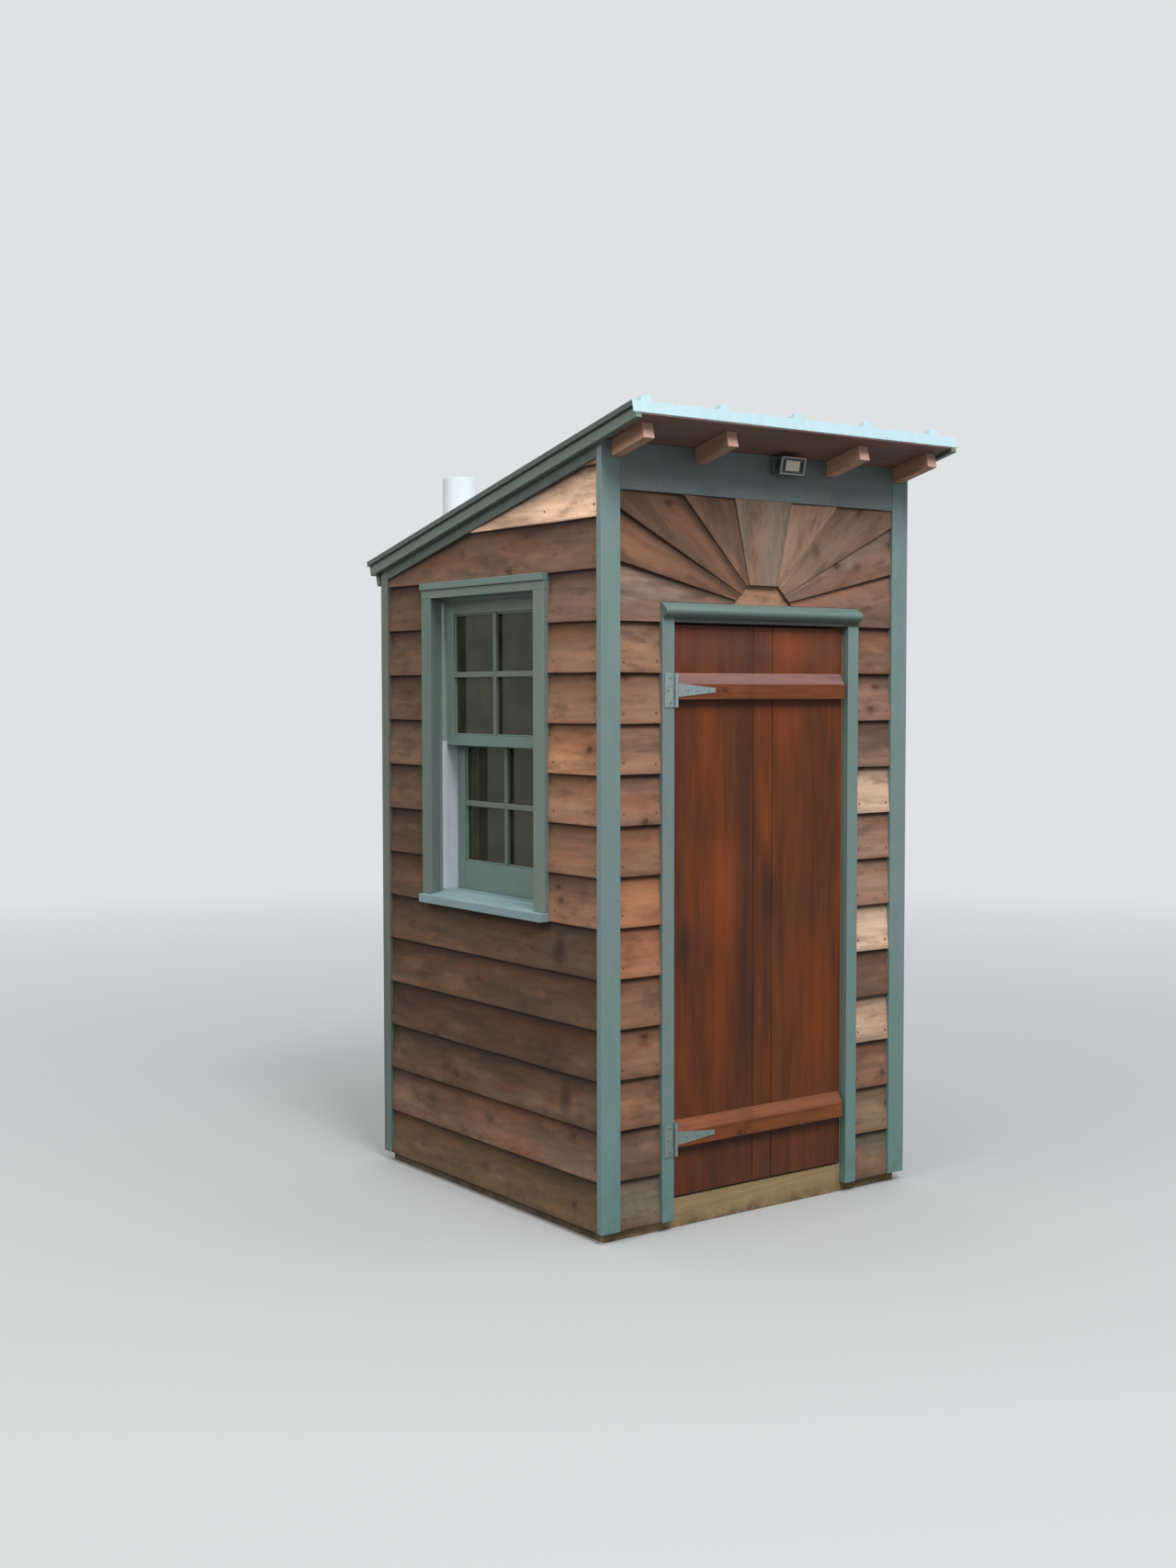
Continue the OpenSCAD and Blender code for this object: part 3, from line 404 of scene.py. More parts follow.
def door_stain():
    """Smooth red-brown boards under an oil finish."""
    t = material("door_stain")
    w = wood_grain(t, 22, 0.14)
    grain = w["grain"]
    streak = t.noise(t.scaled(grain, (1.0, 34, 34), (2, 7, 4)), 1, 5, 0.62)
    color = t.stains(
        toned(t, w, 0.14, 0.12, 0.05, 0.05),
        (t.span(streak, 0.46, 0.66), 0.55, srgb(58, 33, 24)),
        (t.blot(grain, (1.6, 11, 11), (5, 1, 6), 0.46, 0.70), 0.50, srgb(142, 68, 32)),
        (t.blot(grain, (2.4, 16, 16), (1, 6, 2), 0.52, 0.70), 0.40, srgb(62, 40, 30)))
    # Heartwood beside the joint, knots, painted shadow under the ledges, and the lighter middle of the left
    # board
    heart, worn = srgb(50, 35, 30), srgb(150, 74, 38)
    for centre, size, amount, to in (
        ((-56, -602, 900), (46, 60, 1000), 0.75, heart), ((-60, -602, 640), (58, 60, 300), 0.55, heart),
        ((-296, -602, 843), (52, 60, 84), 0.85, heart), ((44, -602, 960), (40, 60, 110), 0.70, heart),
        ((-10, -602, 1700), (110, 60, 90), 0.65, heart),
        ((0, -602, 1720), (900, 60, 100), 0.22, srgb(124, 94, 88)),
        ((210, -602, 400), (90, 60, 130), 0.30, heart), ((10, -602, 1400), (70, 60, 110), 0.32, heart),
        ((-150, -602, 1010), (100, 60, 220), 0.50, worn), ((130, -602, 1725), (110, 60, 70), 0.60, worn),
        ((30, -602, 1180), (40, 60, 130), 0.45, worn),
        # Painted shadow under the lower and the upper ledge, in the heart colour
        ((0, -606, 240), (900, 20, 44), 0.60, heart), ((0, -606, 1557), (900, 20, 40), 0.55, heart),
    ):
        color = t.stains(color, (t.spot(centre, size), amount, to))
    color = t.stains(
        color,
        (w["halo"], 0.35, srgb(74, 40, 28)),
        (w["knot"], 0.7, srgb(40, 24, 20)),
        (t.splash(0.36, 0.10, 15, 0.3, 0.65, 4, 0.65), 0.55, srgb(66, 52, 42)))
    # A pale film on what faces up, more of it on the upper ledge: dust, and a painted reflection of the sky
    up = t.span(t("ShaderNodeSeparateXYZ", {0: t("ShaderNodeNewGeometry", None, 1)}, 2), 0.3, 0.65)
    color = t.mix(t.times(up, t.span(t.height(), 1.0, 1.5, 0.10, 0.62)), color, srgb(147, 125, 127))
    fleck = t.blot(grain, (9, 90, 90), (3, 1, 7), 0.54, 0.66, 4, 0.7)
    color = t.stains(color, (t.times(up, fleck), 0.5, srgb(72, 48, 42)))
    return close(t, color, t.swing(w["middle"], 0.36, 0.50), relief(t, w, 0.5, 0.15), 0.0005, 0.5, 0.14,
                 **{"Coat Weight": 0.03, "Coat Roughness": 0.2})


def bare(name):
    """Bare sawn lumber; its colour is in the tint."""
    t = material(name)
    w = wood_grain(t, 46, 0.26)
    color = t.stains(
        toned(t, w, 0.08, 0.06, 0.05, 0.06),
        (t.blot(w["grain"], (2.4, 10, 10), (1, 2, 3), 0.54, 0.8, 4, 0.6), 0.35, srgb(120, 104, 78)),
        (w["halo"], 0.25, srgb(150, 104, 62)),
        (w["knot"], 0.7, srgb(92, 58, 34)),
        (t.splash(0.060, 0.0, 18, 0.35, 0.62), 0.8, srgb(66, 54, 42)))
    return close(t, color, 0.78, relief(t, w, 0.5, 0.3), 0.0012, 0.6, 0.3)


def sheet_metal(name, base, gloss):
    """Painted roofing, a little chalky, with dirt that the rain has left."""
    t = material(name)
    cloud = t.noise(t.place(), 4, 4, 0.6)
    run = t.noise(t.scaled(t.place(), (38, 2.5, 2.5)), 1, 4, 0.6)
    color = t.dim(base, t.plus(t.swing(cloud, 0.95, 1.03), t.span(run, 0.35, 0.7, 0.0, -0.08)))
    color = t.stains(color, (t.span(t.noise(t.place(), 60, 4, 0.7), 0.62, 0.75), 0.30, srgb(104, 108, 100)))
    return close(t, color, t.swing(cloud, gloss, gloss + 0.16), cloud, 0.0015, 0.4, metallic=0.1)


def galvanised(name, base, rusty):
    """Zinc flakes with a little rust, and a painted green cast of the light below 1 m."""
    t = material(name)
    flake = t("ShaderNodeTexVoronoi", {"Vector": t.place(), "Scale": 170.0}, 1)
    tone = t.span(t("ShaderNodeSeparateColor", {0: flake}), 0, 1, 0.84, 1.08)
    color = t.stains(
        t.dim(base, tone),
        (t.span(t.noise(t.place(), 46, 4, 0.6), 0.60, 0.76), rusty, srgb(112, 88, 70)),
        (t.span(t.height(), 1.0, 0.5), 0.45, srgb(102, 122, 110)))
    pits = t.noise(t.place(), 320, 3, 0.6)
    return close(t, color, t.span(tone, 0.8, 1.1, 0.5, 0.36), pits, 0.0004, 0.5, metallic=0.7)


def plastic(name, base, roughness, grime=0.25, painted=None):
    """Plastic with a little grime. painted is a colour for what is higher than the window's meeting rail."""
    t = material(name)
    cloud, fine = t.noise(t.place(), 7, 4, 0.6), t.noise(t.place(), 240, 3, 0.5)
    color = t.stains(base, (t.span(cloud, 0.45, 0.75), grime, tuple(c * 0.7 for c in base)))
    if painted:
        color = t.stains(color, (t.span(t.height(), 1.426, 1.432), 1.0, painted))
    color = t.stains(color, (t.span(fine, 0.6, 0.75), 0.15, tuple(c * 0.5 for c in base)))
    return close(t, color, t.swing(cloud, roughness, roughness + 0.12), fine, 0.0002, 0.4)


def window_pane():
    """Thin glass: it lets light through and mirrors at a low angle, with a little dust."""
    t = material("pane")
    dust = t.span(t.noise(t.place(), 9, 5, 0.65), 0.42, 0.8, 0.02, 0.10)
    clear = t("ShaderNodeBsdfTransparent", {"Color": (0.70, 0.72, 0.64, 1)})
    mirror = t("ShaderNodeBsdfGlossy", {"Color": (0.84, 0.84, 0.70, 1), "Roughness": 0.04})
    glass = t("ShaderNodeMixShader", {0: t("ShaderNodeFresnel", {"IOR": 1.42}), 1: clear, 2: mirror})
    dull = t("ShaderNodeBsdfDiffuse", {"Color": (0.36, 0.35, 0.30, 1)})
    t("ShaderNodeOutputMaterial", {"Surface": t("ShaderNodeMixShader", {0: dust, 1: glass, 2: dull})})
    return t.owner


MAT = {
    "cedar": cedar("cedar", 1.13, 0.66),
    "rays": cedar("cedar_rays"),
    "trim": paint("trim_paint", srgb(112, 136, 134)),
    "eave": paint("eave_paint", srgb(104, 116, 116), 0.2),
    "barge": paint("barge_paint", srgb(104, 118, 110), 0.2),
    # Dark paint: painted shade, on the rake trims under the barge and on the head casing under the drip cap
    "rake": paint("rake_paint", srgb(84, 92, 88), 0.2),
    # Darker, more olive paint on the rear corner boards and rear fascia: painted shade
    "rear_trim": paint("rear_trim_paint", srgb(101, 106, 95)),
    # Lighter paint on the sill: painted light on its top
    "sill": paint("sill_paint", srgb(129, 154, 156), 0.2),
    "cap": paint("cap_paint", srgb(100, 120, 115), 0.2),
    "window": paint("window_paint", srgb(106, 126, 120), 0.2),
    "door": door_stain(),
    "rafter": rafter_stain(),
    "bare": bare("sawn_lumber"),
    # One sheet in three paints: the front fold lighter than the roof, painted light, and the side folds dark,
    # painted shade
    "roof": sheet_metal("roof_paint", srgb(160, 184, 192), 0.28),
    "roof_front": sheet_metal("roof_front_paint", srgb(186, 214, 222), 0.34),
    "roof_edge": sheet_metal("roof_edge_paint", srgb(84, 92, 88), 0.4),
    "steel": galvanised("galvanised", srgb(150, 164, 164), 0.25),
    "nail": plastic("nail_heads", srgb(100, 78, 64), 0.75, 0.4),
    "pipe": plastic("pipe_plastic", srgb(214, 219, 221), 0.3, 0.10),
    "liner": plastic("liner_plastic", srgb(202, 210, 217), 0.4, 0.25, srgb(140, 158, 154)),
    "rubber": plastic("rubber", srgb(48, 50, 52), 0.6, 0.4),
    "glass": window_pane(),
    "lamp": plastic("lamp_housing", srgb(96, 106, 102), 0.42, 0.3),
    "lamp_rim": plastic("lamp_rim", srgb(192, 198, 192), 0.4, 0.3),
    "lens": plastic("lamp_lens", srgb(250, 243, 220), 0.2, 0.15),
    "dark": plastic("dark_parts_and_slot_shade", srgb(36, 36, 36), 0.6, 0.2),
}

# The tint that leaves a material's colour as it is, and the colours of new lumber
PLAIN = (1, 1, 1)
LUMBER, FLOORING = srgb(204, 176, 132), srgb(186, 156, 112)
JOIST, SILL = srgb(112, 100, 80), srgb(158, 135, 99)
# Tones of weathered cedar, from the darkest boards to the lightest. The darkest ones, low and towards the
# rear of the left wall, are dark from wet and dirt and from painted shade
TONES = {
    "night": srgb(78, 58, 46), "shade": srgb(88, 68, 54), "dark": srgb(102, 79, 65),
    "moss": srgb(108, 87, 63), "umber": srgb(115, 89, 74), "stone": srgb(117, 106, 92),
    "brown": srgb(128, 93, 73), "plum": srgb(131, 101, 88), "straw": srgb(132, 110, 88),
    "ash": srgb(146, 121, 108), "tan": srgb(146, 109, 88), "oat": srgb(154, 122, 103),
    "rust": srgb(165, 110, 80), "orange": srgb(187, 137, 104), "pale": srgb(198, 168, 144),
    "cream": srgb(240, 200, 170),
}


# Boards
def circle(n, r=1):
    return [(math.cos(2 * math.pi * i / n) * r, math.sin(2 * math.pi * i / n) * r) for i in range(n)]


def bands(n, rows, closed=False):
    """Faces between neighbouring loops of n points. Where closed, the last loop joins the first."""
    faces = []
    for k in range(rows if closed else rows - 1):
        m = (k + 1) % rows
        faces += [(k * n + i, k * n + (i + 1) % n, m * n + (i + 1) % n, m * n + i) for i in range(n)]
    return faces


def soften(bm, edges, bevel, segments=2):
    bmesh.ops.bevel(bm, geom=edges, offset=bevel, segments=segments, affect="EDGES", profile=0.5,
                    clamp_overlap=True)


# The faces of a block between two rows of four points
BLOCK = ((0, 1, 2, 3), (7, 6, 5, 4), (0, 1, 5, 4), (1, 2, 6, 5), (2, 3, 7, 6), (3, 0, 4, 7))


class Boards:
    """Boards joined into one piece. Each has its own grain, tint and place across its width."""

    def __init__(self, seed):
        self.points, self.faces, self.smooth = [], [], []
        self.grain, self.tint, self.across = [], [], []
        self.random = random.Random(seed)

    def shift(self):
        return Vector([self.random.uniform(0, 40) for _ in range(3)])

    def varied(self, color, spread=0.05):
        """A colour, a little lighter or darker by chance."""
        k = 1 + self.random.uniform(-spread, spread)
        return tuple(c * k for c in color)

    def put(self, points, faces, grain=None, tint=PLAIN, across=0.5, smooth=False, move=None, turn=None):
        """points in mm, placed by turn; grain in mm along, across and through the board, or as points."""
        start = len(self.points)
        if move is None:
            move = self.shift()
        placed = [turn @ p for p in points] if turn else points
        self.points += [tuple(c / 1000 for c in p) for p in placed]
        self.grain += [tuple(Vector(g) / 1000 + move) for g in (grain or points)]
        self.tint += [(*tint, 1)] * len(points)
        self.across += list(across) if isinstance(across, (list, tuple)) else [across] * len(points)
        self.faces += [tuple(start + i for i in f) for f in faces]
        self.smooth += [smooth] * len(faces)

    def put_bmesh(self, bm, turn, tint, across=0.5, move=None):
        """bm holds the board in its own axes: x along, y across, z through."""
        bm.verts.index_update()
        local = [v.co.copy() for v in bm.verts]
        points = [turn @ p for p in local]
        faces = [[v.index for v in f.verts] for f in bm.faces]
        across = [across(p) for p in points] if callable(across) else across
        self.put(points, faces, local, tint, across, move=move)
        bm.free()

    def stick(self, lo, hi, along, bevel=1.5, tint=PLAIN, cut=(), turn=None, move=None):
        """A board between two corners, its grain along the axis named. cut lists planes as a point and an
        outward normal, and turn places the board afterwards."""
        lo, hi = Vector(lo), Vector(hi)
        bm = bmesh.new()
        bmesh.ops.create_cube(bm, size=1)
        bmesh.ops.scale(bm, vec=hi - lo, verts=bm.verts)
        bmesh.ops.translate(bm, vec=(lo + hi) / 2, verts=bm.verts)
        for point, normal in cut:
            found = bmesh.ops.bisect_plane(bm, geom=[*bm.verts, *bm.edges, *bm.faces], plane_co=point,
                                           plane_no=normal, clear_outer=True)
            rim = [e for e in found["geom_cut"] if isinstance(e, bmesh.types.BMEdge)]
            if rim:
                bmesh.ops.holes_fill(bm, edges=rim)
        if bevel:
            soften(bm, list(bm.edges), bevel)
        order = {"x": (0, 1, 2), "y": (1, 2, 0), "z": (2, 0, 1)}[along]
        axes = Matrix([[1 if j == order[i] else 0 for j in range(3)] for i in range(3)]).to_4x4()
        bmesh.ops.transform(bm, matrix=axes, verts=bm.verts)
        self.put_bmesh(bm, (turn or Matrix()) @ axes.inverted(), tint, 0.0, move)

    def sawn(self, lo, hi, along, bevel=1.5, color=LUMBER, spread=0.05, **more):
        """A stick of lumber, a little lighter or darker by chance."""
        self.stick(lo, hi, along, bevel, self.varied(color, spread), **more)

    def disc(self, place, normal, rings, tint=PLAIN, sides=8):
        """A turned head. rings lists radius and height from its foot up; a last radius of 0 is its middle."""
        place, normal = Vector(place), Vector(normal).normalized()
        side = normal.orthogonal().normalized()
        other = normal.cross(side)
        points = []
        for r, h in rings:
            around = [(side * c + other * s) * r for c, s in circle(sides)] if r else [Vector()]
            points += [place + v + normal * h for v in around]
        full = sum(1 for r, h in rings if r)
        top = (full - 1) * sides
        faces = bands(sides, full)
        if full < len(rings):
            faces += [(top + i, top + (i + 1) % sides, top + sides) for i in range(sides)]
        else:
            faces.append(tuple(range(top, top + sides)))
        faces.append(tuple(reversed(range(sides))))
        self.put(points, faces, tint=tint)

    def from_node(self, node, way=None, bevel=1.2, tint=PLAIN, across=0.5, segments=2):
        """Adds a CAD node's solids as boards with softened edges. way, the grain's direction, and tint may be
        functions of a solid's middle."""
        bm = bmesh.new()
        bm.from_mesh(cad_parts[node].data)
        bmesh.ops.scale(bm, vec=(1000, 1000, 1000), verts=bm.verts)
        bmesh.ops.remove_doubles(bm, verts=bm.verts, dist=0.01)
        bmesh.ops.dissolve_limit(bm, angle_limit=0.02, verts=bm.verts, edges=bm.edges)
        bm.verts.index_update()
        bm.faces.index_update()
        for group in islands(bm):
            part = bmesh.new()
            copy = {v: part.verts.new(v.co) for v in group}
            for f in sorted({f for v in group for f in v.link_faces}, key=lambda f: f.index):
                part.faces.new([copy[v] for v in f.verts])
            bmesh.ops.recalc_face_normals(part, faces=part.faces)
            low = Vector([min(v.co[i] for v in part.verts) for i in range(3)])
            high = Vector([max(v.co[i] for v in part.verts) for i in range(3)])
            middle, size = (low + high) / 2, high - low
            if bevel:
                sharp = [e for e in part.edges if len(e.link_faces) == 2 and e.calc_face_angle(0) > 0.3]
                soften(part, sharp, bevel, segments)
            u = way(middle) if callable(way) else way
            if u is None:
                u = (X, Y, Z)[max(range(3), key=lambda i: size[i])]
            u = Vector(u).normalized()
            side = Z.cross(u) if abs(u.z) < 0.9 else Y.cross(u)
            side.normalize()
            axes = Matrix((u, u.cross(side), side)).to_4x4()
            bmesh.ops.transform(part, matrix=axes, verts=part.verts)
            self.put_bmesh(part, axes.inverted(), tint(middle) if callable(tint) else tint, across)
        bm.free()

    def make(self, name, mat, body="building", slot=None, node=None):
        """Builds the piece; slot is not used, and node is the CAD node it stands for."""
        mesh = bpy.data.meshes.new(name)
        mesh.from_pydata(self.points, [], self.faces)
        bm = bmesh.new()
        bm.from_mesh(mesh)
        bmesh.ops.recalc_face_normals(bm, faces=bm.faces)
        bm.to_mesh(mesh)
        bm.free()
        grain, tint = ([c for row in rows for c in row] for rows in (self.grain, self.tint))
        for key, kind, field, values in (("grain", "FLOAT_VECTOR", "vector", grain),
                                         ("tint", "FLOAT_COLOR", "color", tint),
                                         ("across", "FLOAT", "value", self.across)):
            mesh.attributes.new(key, kind, "POINT").data.foreach_set(field, values)
        mesh.polygons.foreach_set("use_smooth", self.smooth)
        mesh.materials.append(MAT[mat])
        obj = link(name, mesh)
        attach(obj, body)
        if node:
            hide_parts(node)
        return obj


def dressed(seed, node, name, mat, slot, way=None, bevel=1.2, tint=PLAIN, across=0.5, segments=2,
            body="building"):
    """A piece made only of a CAD node's solids."""
    boards = Boards(seed)
    boards.from_node(node, way, bevel, tint, across, segments)
    boards.make(name, mat, body, slot, node)


def islands(bm):
    """The separate solids in bm, as lists of vertices."""
    left, found = set(bm.verts), []
    while left:
        group, todo = set(), [next(iter(left))]
        while todo:
            v = todo.pop()
            if v not in group:
                group.add(v)
                todo += [e.other_vert(v) for e in v.link_edges if e.other_vert(v) not in group]
        left -= group
        found.append(sorted(group, key=lambda v: v.index))
    return sorted(found, key=lambda g: tuple(round(sum(v.co[i] for v in g) / len(g), 4) for i in (2, 0, 1)))


def rounded(path, r, n=3):
    """The path with its inner corners rounded."""
    out = [path[0]]
    for before, corner, after in zip(path, path[1:], path[2:]):
        c = Vector(corner)
        u, v = Vector(before) - c, Vector(after) - c
        reach = min(r, u.length / 2, v.length / 2)
        a, b = c + u.normalized() * reach, c + v.normalized() * reach
        for i in range(n + 1):
            k = i / n
            out.append(tuple(a * (1 - k) ** 2 + c * 2 * k * (1 - k) + b * k ** 2))
    return out + [path[-1]]


def keep_edges(obj, angle=35):
    """Smooth faces, with the edges sharper than the angle kept."""
    bm = bmesh.new()
    bm.from_mesh(obj.data)
    for e in bm.edges:
        e.smooth = e.calc_face_angle(0) < math.radians(angle)
    bm.to_mesh(obj.data)
    bm.free()
    obj.data.polygons.foreach_set("use_smooth", [True] * len(obj.data.polygons))


def coat(node, mat):
    """Gives a CAD mesh that is shown as it is its material."""
    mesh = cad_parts[node].data
    mesh.materials.clear()
    mesh.materials.append(MAT[mat])


# Siding
def course_board(boards, wall, k, run, tint, seed, lo=None, hi=None, lean=1.0):
    """A lapped board of a wall's course k. run is its stretch along the wall; lo(u) and hi(u) clip it. Its
    outer face falls from BUTT at z0 to TIP at z1. A greater lean keeps the painted shade nearer its top."""
    u0, u1 = run
    z0, z1 = course(k)
    lap, soft = 24, 1.8
    steps = max(2, round(abs(u1 - u0) / 34))
    grain, across = [], []
    for i in range(steps + 1):
        u = u0 + (u1 - u0) * i / steps
        bend = noise.noise(Vector((u / 260, seed, z0 / 90)))
        fine = noise.noise(Vector((u / 70, seed + 7, z0 / 50)))
        low = z0 + 1.8 * bend + 0.6 * fine
        top = z1 + lap
        if lo:
            low = max(low, lo(u))
        if hi:
            top = min(top, hi(u))
        top = max(top, low + 3)
        out = 0.9 * noise.noise(Vector((u / 330, seed + 3, 2)))

        def face(z):
            return BUTT + (TIP - BUTT) * (z - z0) / (z1 - z0) + out * (1 - (z - z0) / (z1 - z0 + lap))

        def back(z):
            return 0.0 if k == 0 else max(0.0, 8.1 * (1 - (z - z0) / (z1 - z0 + lap)))

        section = [(back(low), low), (face(low) - soft, low), (face(low) - 0.5, low + 0.5),
                   (face(low + soft), low + soft)]
        for part in (0.25, 0.5, 0.75):
            z = low + (top - low) * part
            section.append((face(z) + 0.5 * noise.noise(Vector((u / 200, seed + part * 9, 5))), z))
        section += [(max(face(top), back(top) + 1.5), top), (back(top), top)]
        grain += [(u, z, d) for d, z in section]
        shade = max(z0 + 20, min(z1, top))
        across += [max(0.0, (z - z0) / (shade - z0)) ** lean for d, z in section]
    n = len(section)
    ends = [tuple(reversed(range(n))), tuple(range(n * steps, n * steps + n))]
    boards.put([wall_at(wall, u, d, z) for u, z, d in grain], ends + bands(n, steps + 1), grain, tint, across)


NAIL = ((4.2, 0), (4.2, 0.5), (2.6, 1.0), (0, 1.1))
siding_nails = Boards(61)
# Each wall's outward side; the left and right walls run along Y
SIDES = {"left": -1, "right": 1, "front": -1, "rear": 1}


def wall_at(wall, u, d, z):
    """The point u along a wall, d out from its frame and z up."""
    if wall in ("left", "right"):
        return SIDES[wall] * (FRAME_X + d), u, z
    return u, SIDES[wall] * (FRAME_Y + d), z


def nail_course(wall, k, places):
    """Nails along a course, a little over its lower edge."""
    normal = (X if wall in ("left", "right") else Y) * SIDES[wall]
    for u in places:
        z = SKIRT_Z + k * COURSE + 32 + siding_nails.random.uniform(-4, 4)
        d = BUTT + (TIP - BUTT) * (z - SKIRT_Z - k * COURSE) / COURSE - 0.3
        siding_nails.disc(wall_at(wall, u + siding_nails.random.uniform(-4, 4), d, z), normal, NAIL)


def course(k):
    return SKIRT_Z + k * COURSE, SKIRT_Z + (k + 1) * COURSE


def rake_end(z):
    """How far back a side wall's course that starts at z may run under the rake trim."""
    top = EAVE_Z - (DECK_T + RAKE_H + FIT) / math.cos(PITCH)
    return min(SIDING_REAR, ROOF_Y + (top - z - 3) / math.tan(PITCH))


def under_rake(y):
    return below(y, DECK_T + RAKE_H + FIT)


def left_wall():
    """Courses from the ground up; beside the window each has a rear board and a front board."""
    boards = Boards(3)
    front = -FRAME_Y
    # The low courses and the boards behind the window take the darkest tones, partly painted shade
    whole = "moss umber shade night shade shade".split()
    rear_ones = "shade shade dark umber dark umber dark".split()
    front_ones = "tan tan tan orange tan tan plum".split()
    gable = "umber cream stone".split()
    window_top = 6 + len(front_ones)

    def board(k, run, tint, shift=0, **clip):
        course_board(boards, "left", k, run, tint, 10 + k * 3.7 + shift, **{"hi": under_rake, **clip})

    for k, tone in enumerate(whole + front_ones + gable):
        end = rake_end(course(k)[0])
        tint = boards.varied(TONES[tone])
        if 6 <= k < window_top:
            board(k, (front, -WIN_OUT - FIT), tint)
            board(k, (WIN_OUT + FIT, end), boards.varied(TONES[rear_ones[k - 6]]), 40)
            nail_course("left", k, (-575, -375, 375, 560))
            continue
        if k in (5, window_top):
            # The window cuts into this one: three boards that share a grain, with the middle one clipped
            clip = {"hi": lambda u: SILL_Z - FIT} if k == 5 else {"lo": lambda u: HEAD_TOP + FIT}
            state = boards.random.getstate()
            for run, clipped in (((front, -WIN_OUT), {}), ((-WIN_OUT, WIN_OUT), clip), ((WIN_OUT, end), {})):
                boards.random.setstate(state)
                board(k, run, tint, **clipped)
        else:
            board(k, (front, end), tint)
        nails = (-575, -330, 0, 330, 560) if k < 6 else (-575, -330, 0, 330)
        nail_course("left", k, [u for u in nails if k < 6 or u < end - 160])
    boards.make("left_boards", "cedar", slot="siding", node="left_siding")


def courses(name, wall, tones, seed, waves, run, hi, nails, lean=1.0):
    """A wall of whole courses from the ground up, in the tones named. waves(k) seeds a course's waves, run(z)
    is the stretch of a course that starts at z, and nails(k, end) where it is nailed."""
    boards = Boards(seed)
    for k, tone in enumerate(tones.split()):
        stretch = run(course(k)[0])
        course_board(boards, wall, k, stretch, boards.varied(TONES[tone]), waves(k), hi=hi, lean=lean)
        nail_course(wall, k, nails(k, stretch[1]))
    boards.make(name, "cedar", slot="siding", node=name.replace("boards", "siding"))


def plain_walls():
    """The right wall, the rear wall, and the strips beside the doorway."""
    courses("right_boards", "right",
            "moss umber brown tan dark plum brown rust umber tan oat brown tan umber orange oat",
            5, lambda k: 90 + k * 2.9, lambda z: (-FRAME_Y, rake_end(z)), under_rake,
            lambda k, end: [u for u in (-575, -488, 0) if u < end - 160])
    rear_top = below(HALF_D, DECK_T + RAFTER_H) - 40.3
    courses("rear_boards", "rear",
            "moss umber brown dark tan brown plum umber rust tan umber brown oat",
            7, lambda k: 170 + k * 4.1, lambda z: (FIT - FAN_X, FAN_X - FIT), lambda u: rear_top,
            lambda k, end: (-525, 0, 525) if k < 12 else ())
    for side, (u0, u1), seed, tones in zip(("left", "right"), both(CASING_X + FIT, FAN_X - FIT), (11, 13), (
            "stone dark brown brown brown rust rust brown plum tan tan tan",
            "stone straw brown pale dark pale oat oat pale plum plum umber")):
        courses("front_boards_" + side, "front", tones, seed, lambda k: seed * 30 + k * 5.3,
                lambda z: (u0, u1), lambda u: HEAD_Z - FIT, lambda k, end: (u0 + 14, u1 - 14), 1.7)


left_wall()
plain_walls()
siding_nails.make("siding_nails", "nail", slot="hinge")


# Sunburst: the rays keep their CAD shape, and each gets its own grain along its length and its own colour
def sunburst():
    def along(angle):
        a = math.radians(angle)
        return lambda m: Vector((math.cos(a) * (1 if m.x > 0 else -1), 0, math.sin(a)))

    def tones(left, right):
        return lambda m: TONES[left if m.x < 0 else right]

    def under_joint(angle, left, right):
        """A dark line of painted shade along the joint over a ray: its place across runs up to 1 at the
        joint, over the breadth that is given for each side."""
        a = math.radians(angle)

        def value(p):
            d = abs(p.x) * math.sin(a) - (p.z - CAP_TOP + 13) * math.cos(a)
            return 1.1 - d / left if p.x < 0 else 1 - d / right
        return value

    for name, node, way, tint, across in (
        ("base_boards", "fan_base_boards", X, tones("ash", "plum"), under_joint(13, 90, 80)),
        ("low_ray_boards", "low_rays", along(20), tones("brown", "ash"), under_joint(26.8, 100, 8)),
        ("middle_ray_boards", "middle_rays", along(36), tones("dark", "oat"), under_joint(46.6, 100, 8)),
        ("high_ray_boards", "high_rays", along(66), tones("umber", "oat"), 0.5),
        ("middle_board", "key_ray", Z, srgb(132, 116, 104), 0.5),
        ("hub_board", "fan_hub", X, srgb(173, 136, 108), 0.5),
    ):
        slot = "hub" if node == "fan_hub" else "sunburst"
        dressed(31 + len(name), node, name, "rays", slot, way, 1.4, tint, across)


sunburst()


# Painted trim
def trim():
    # The rake trims take the dark rake paint, painted shade under the barge, and the head casing the same
    # paint at half its tint, painted shade under the drip cap
    for i, (node, mat, way, tint) in enumerate((
        ("front_corner_boards", "trim", None, (1.04, 0.99, 1.01)),
        ("rear_corner_boards", "rear_trim", None, PLAIN),
        ("frieze_boards", "eave", None, PLAIN), ("rake_trims", "rake", DOWN_ROOF, PLAIN),
        ("barge_boards", "barge", DOWN_ROOF, PLAIN), ("rear_fascia", "rear_trim", None, PLAIN),
        ("door_casings", "trim", None, PLAIN), ("head_casing", "rake", None, (0.5, 0.5, 0.5)),
    )):
        name = node.replace("_", "-")
        if node != "door_casings":
            dressed(40 + i, node, name, mat, "trim", way, 1.8, tint)
            continue
        # The left casing stops under the drip cap
        boards = Boards(40 + i)
        for (a, b), z, tint in zip(both(GAP_X, CASING_X), (CAP_TOP - 27.3, HEAD_Z),
                                   ((1.0, 0.86, 0.88), (1.0, 0.95, 0.95))):
            boards.stick((a, CASING_Y, SKIRT_Z), (b, -FRAME_Y, z), "z", 1.8, tint)
        boards.make(name, mat, slot="trim", node=node)


